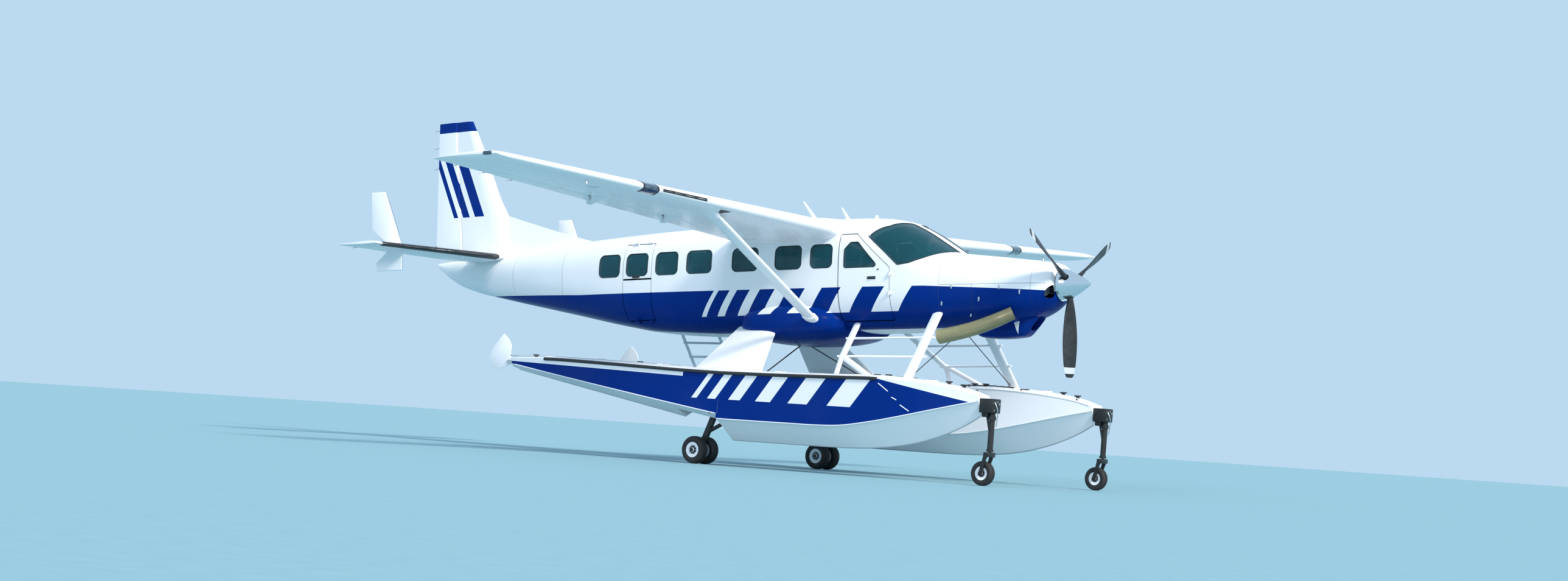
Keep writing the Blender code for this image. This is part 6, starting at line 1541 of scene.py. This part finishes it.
for side, sign in SIDES:
    dressed(edge_patch("landing_light_" + side, sign * 4.78, sign * 5.06, 0.075, 0.0022), lamp_glass,
            "airframe", "tinted_glass")
    seals = [edge_patch("lamp_edge", sign * 4.755, sign * 4.785, 0.080, 0.003),
             edge_patch("lamp_edge", sign * 5.055, sign * 5.085, 0.080, 0.003)]
    if side == "right":
        seals.append(edge_patch("strip", sign * 3.75, sign * 4.68, 0.003, 0.002))
    vent = [wing_skin(sign * y, u, -1) for y, u in ((3.36, 0.05), (3.14, 0.05), (3.26, 0.14))]
    seals.append(loft("vent", [[at + normal * lift for at, normal in vent] for lift in (-0.004, 0.005)]))
    dressed(joined("wing_edge_trim_" + side, seals), boot_rubber, "airframe", "black_metal")
    at = wing_point(sign * SEMI_SPAN, 0.13)
    dressed(block("tip_lamp_" + side, (at.x - 0.07, at.y - 0.02, at.z - 0.026),
                  (at.x + 0.07, at.y + 0.02, at.z + 0.026), 0.014, 3), lamp_glass, "airframe",
            "tinted_glass")
    plates, metal = [], []
    for y, u, face, radius in ((1.6, 0.18, 1, 0.045), (2.9, 0.18, 1, 0.045), (1.6, 0.55, -1, 0.09),
                               (2.5, 0.52, -1, 0.09), (4.4, 0.50, -1, 0.08), (5.3, 0.48, -1, 0.08),
                               (6.2, 0.48, -1, 0.07), (7.0, 0.46, -1, 0.07)):
        at, normal = wing_skin(sign * y, u, face)
        plates.append(tube("plate", (at - normal * 0.006, at + normal * 0.0035), radius, False, 5))
        if face > 0:
            metal.append(tube("cap", (at, at + normal * 0.009), radius * 0.62, False, 4))
    dressed(joined("wing_plates_" + side, plates), white_paint, "airframe", "white_paint")
    at = wing_point(sign * 6.1, 0.05, -0.045)
    metal.append(tube("pitot", smooth_path([at + Vector((-0.05, 0, 0.02)), at + Vector((-0.03, 0, -0.09)),
            at + Vector((0.06, 0, -0.13)), at + Vector((0.22, 0, -0.13))], 5), 0.010, False, 3))
    dressed(joined("wing_caps_" + side, metal), bare_alloy, "airframe", "bare_metal")
    for body, places in (("aileron_" + side, [wing_point(sign * y, 1.0) for y in (6.2, 6.8, 7.4)]),
                         ("elevator_" + side, [tail_point(sign * y, 1.0) for y in (1.8, 2.6)])):
        wicks = [tube("wick", (p + Vector((0.01, 0, 0)), p + Vector((-0.055, 0, -0.004))), 0.004)
                 for p in places]
        wicks += [tube("wick_tip", (p + Vector((-0.055, 0, -0.004)), p + Vector((-0.13, 0, -0.008))),
                       0.0018) for p in places]
        dressed(joined("static_wicks_" + body, wicks), black_trim, body, "black_metal")
    root = [[wing_point(sign * y, u, lift) for u, lift in foil_outline(wing_chord(y), wing_thickness(y),
            grow)] for y, grow in ((0.40, 0.060), (0.66, 0.040), (0.76, 0.022), (0.84, 0.010),
            (0.93, 0.001))]
    root = shaped(loft("wing_root_fairing_" + side, root), "DIFFERENCE",
                  barrel("inside", CABIN_STATIONS, 3.2, 0.0, -0.02, 48, 0.3), bay(*FLAP_Y, sign))
    dressed(root, white_paint, "airframe", "white_paint")
wicks = [tube("wick", ((RUDDER_REAR_X + 0.01, 0, z), (RUDDER_REAR_X - 0.11, 0, z - 0.02)), 0.003)
         for z in (2.4, 2.75, 3.05)]
dressed(joined("static_wicks_rudder", wicks), black_trim, "rudder", "black_metal")
dressed(joined("tail_lamps",
               [block("tail_lamp", (RUDDER_REAR_X - 0.022, -0.014, 1.02),
                      (RUDDER_REAR_X + 0.01, 0.014, 1.07), 0.006)]), lamp_glass, "rudder", "tinted_glass")

# Skin seams, latches and handles: lap joints as fine dark lines, bright cowl latches, door
# handles and small vents. All follow the skin.


def ring_seam(stations, x, low_z, high_z, sign, proud=0.0):
    """A joint across the fuselage's side at a station."""
    return on_skin([(x, low_z), (x, high_z)], sign, stations, proud, 0.05, False)


seams = []
for side, sign in SIDES:
    for stations, x, low, high in ((CABIN_STATIONS, 4.185, -0.50, 0.50),
                                   (CABIN_STATIONS, -2.98, -0.15, 0.93), (TAIL_STATIONS, -4.20, 0.08, 0.84),
                                   (COWL_STATIONS, 5.60, -0.30, 0.34), (COWL_STATIONS, 4.72, -0.50, 0.03)):
        seams.append(tube("seam", ring_seam(stations, x, low, high, sign, -0.0012), 0.0024))
    seams.append(tube("split", on_skin([(5.80, THRUST_Z), (4.21, THRUST_Z)], sign, COWL_STATIONS, -0.0012,
                                       0.06, False), 0.0026))
dressed(joined("skin_seams", seams), seal_rubber, "airframe", "black_metal")

COWL_LATCHES = ((4.233, -0.241), (4.836, -0.192), (4.662, -0.407), (5.45, -0.097), (5.15, -0.02), (4.40, 0.0))
latches = []
for side, sign in SIDES:
    for x, z in COWL_LATCHES:
        y = sign * half_width(COWL_STATIONS, x, z)
        latches.append(block("latch", (x - 0.012, y - 0.006, z - 0.032), (x + 0.012, y + 0.006, z + 0.032),
                             0.004))
dressed(joined("cowl_latches", latches), bare_alloy, "airframe", "bare_metal")
for body, x, z, sign in (("crew_door_left", 3.09, 0.161, 1), ("crew_door_right", 3.09, 0.161, -1),
                         ("airstair_upper", -1.36, 0.325, -1), ("cargo_door_upper", -1.06, 0.31, 1)):
    y = half_width(CABIN_STATIONS, x, z)
    handle = [tube("handle", [Vector((x + dx, sign * (y + out), z))
            for dx, out in ((-0.055, 0.0), (-0.045, 0.016), (0.045, 0.016), (0.055, 0.0))], 0.006, False,
            3), block("plate", (x - 0.075, sign * y - 0.004, z - 0.022),
            (x + 0.075, sign * y + 0.004, z + 0.022), 0.003)]
    handle.append(block("lock", (x + 0.10, sign * y - 0.004, z + 0.115),
                        (x + 0.13, sign * y + 0.004, z + 0.130), 0.002))
    dressed(joined("handle_" + body, handle), seal_rubber, body, "black_metal")
vents = []
for side, sign in SIDES:
    rows = []
    for t in spaced(0.0, 0.98, 0.07):
        z = -0.485 - 0.19 * t
        ends = (5.175 + 0.065 * t, 5.275 - 0.035 * t)
        rows.append([Vector((x, sign * (half_width(CHIN_STATIONS, x, z) + proud), z)) for x, proud in
                     ((ends[0], 0.007), (ends[1], 0.007), (ends[1], -0.02), (ends[0], -0.02))])
    vents.append(loft("chin_vent", rows))
dressed(joined("chin_vents", vents), white_paint, "airframe", "white_paint")


def nose_x(y, z):
    """Where a line along the aircraft meets the cowl's nose."""
    places = spaced(COWL_FRONT, COWL_FRONT - 0.3, 0.004)
    return next(x for x in places if half_width(COWL_STATIONS, x, z) >= abs(y))


lips = []
for side, sign in SIDES:
    rim = [(INLET_Y + INLET_RADIUS * cos(2 * pi * k / 48), INLET_Z + INLET_RADIUS * sin(2 * pi * k / 48))
           for k in range(48)]
    lips.append(tube("inlet_lip", [Vector((nose_x(y, z), sign * y, z)) for y, z in rim], 0.008, True, 3))
dressed(joined("inlet_lips", lips), hull_paint, "airframe", "white_paint")

# Rigging of the floats: bracing wires, deck hatches, cleats and a rope, pump plugs, steering
# cables, the boarding ladder on the port side and the non-slip strips on the decks.
wires, fittings = [], []
for side, sign in SIDES:
    top, foot = Vector((4.19, sign * 0.03, -0.598)), to_air(4.26, sign * 1.50, -1.165)
    wires.append(tube("brace_wire", (top, foot), 0.0065))
    for end, way in ((top, foot - top), (foot, top - foot)):
        way.normalize()
        fittings.append(tube("turnbuckle", (end + way * 0.03, end + way * 0.16), 0.012, False, 3))
    wires.append(tube("drag_rod", (Vector((1.35, sign * 0.10, -0.75)), to_air(1.68, sign * 1.38, -1.15)),
                      0.010))
dressed(joined("brace_wires", wires), black_trim, "airframe", "black_metal")
dressed(joined("brace_turnbuckles", fittings), bare_alloy, "airframe", "bare_metal")

rails = [((-1.66, 0.80, -0.47), (-1.90, 1.50, -0.995)), ((-0.94, 0.82, -0.50), (-1.16, 1.50, -1.005))]
ladder = [strut("rail", *rail, 0.060, 0.030, 16) for rail in rails]
for t in (0.24, 0.64):
    a, b = (Vector(rail[0]).lerp(Vector(rail[1]), t) for rail in rails)
    ladder.append(loft("step",
            [[end + Vector((0, dy, dz)) for dy, dz in ((-0.055, -0.016), (0.055, -0.016), (0.055, 0.016),
            (-0.055, 0.016))] for end in (a, b)]))
dressed(joined("boarding_ladder", ladder), white_paint, "airframe", "white_paint")

HATCH_X = (-2.35, -1.30, -0.10, 0.95, 2.10, 4.75)
CLEATS = ((-2.55, 0.5), (-0.75, -0.72), (3.645, -0.66), (3.842, -0.66), (5.05, 0.0), (5.30, 0.0))
deck_rubber = grained("deck_grip", 220.0, 5.0, (0.50, 0.52, 0.54), (0.62, 0.64, 0.66), 0.85, (0.5, 0.002))


def deck_height(x, share):
    """The deck's height at a place along the float, and a share of its half width."""
    station = station_at(FORE_STATIONS if x > 1.30 else AFT_STATIONS, x)
    return station[1] + station[2] * (1 - abs(share) ** 3) ** 0.9, station[3] * share


for side, sign in SIDES:
    y0 = sign * FLOAT_Y
    hatches, cleats, plugs, grips = [], [], [], []
    for x in HATCH_X:
        z, out = deck_height(x, 0.0)
        hatches.append(turned("hatch", ((0.014, 0), (0.014, 0.085), (0.010, 0.095), (-0.01, 0.098)),
                              (x, y0, z - 0.002), (0, 0, 1), 48))
        plugs += [tube("grip", ((x - 0.05, y0 + dy, z + 0.010), (x + 0.05, y0 + dy, z + 0.010)), 0.006)
                  for dy in (-0.02, 0.02)]
    z, out = deck_height(4.515, 0.62)
    plugs.append(block("locker_hatch", (4.455, y0 - sign * out - 0.035, z - 0.004),
                       (4.575, y0 - sign * out + 0.035, z + 0.010), 0.004))
    for x, share in CLEATS:
        z, out = deck_height(x, share)
        y = y0 + sign * out
        cleats += [tube("cleat", ((x - 0.055, y, z + 0.030), (x + 0.055, y, z + 0.030)), 0.010, False, 3),
                   block("cleat_foot", (x - 0.026, y - 0.014, z - 0.010), (x + 0.026, y + 0.014, z + 0.030),
                         0.005)]
    line = []
    for k, x in enumerate(spaced(3.40, 4.34, 0.05)):
        z, out = deck_height(x, -0.66)
        line.append(Vector((x, y0 + sign * (out + 0.012 * sin(k * 1.9)), z + 0.010 + 0.003 * sin(k * 2.7))))
    cleats.append(tube("mooring_line", smooth_path(line, 3), 0.008))
    feet = []
    for x in spaced(-2.7, 5.4, 0.9):
        z, out = deck_height(x, 0.86)
        feet.append((x, y0 - sign * out, z))
    plugs.append(studs("pump_plugs", feet, (0, 0, 1), 0.013, 0.020, 10, dark_plastic))
    plugs.append(tube("step_drain", ((1.18, y0 + sign * 0.440, -1.80), (1.18, y0 + sign * 0.451, -1.80)),
                      0.020, False, 3))
    for low, high in ((2.45, 2.98), (3.20, 3.60)):
        rows = []
        for x in spaced(low, high, 0.1):
            rows.append([Vector((x, y0 + deck_height(x, s)[1], deck_height(x, s)[0] + lift))
                    for lift, shares in ((0.0025, (-0.7, -0.4, 0.0, 0.4, 0.7)),
                    (-0.006, (0.7, 0.4, 0.0, -0.4, -0.7))) for s in shares])
        grips.append(loft("grip_strip", rows))
    cables = [tube("cable",
                   smooth_path([Vector((-3.00, y0 + s * 0.085, -1.113)),
                                Vector((-2.2, y0 + s * 0.12, -1.090)),
                                Vector((-1.2, y0 + s * 0.10, -1.100)),
                                Vector((0.2, y0 + s * 0.07, -1.122))], 6), 0.003) for s in (-1, 1)]
    dressed(joined("deck_hatches_" + side, hatches), white_paint, "airframe", "white_paint", place=LEVEL)
    dressed(joined("deck_cleats_" + side, cleats), black_trim, "airframe", "black_metal", place=LEVEL)
    dressed(joined("deck_plugs_" + side, plugs), dark_plastic, "airframe", "cabin_black", place=LEVEL)
    dressed(joined("deck_grips_" + side, grips), deck_rubber, "airframe", "cabin_grey", place=LEVEL)
    dressed(joined("steering_cables_" + side, cables), bare_alloy, "airframe", "bare_metal", place=LEVEL)
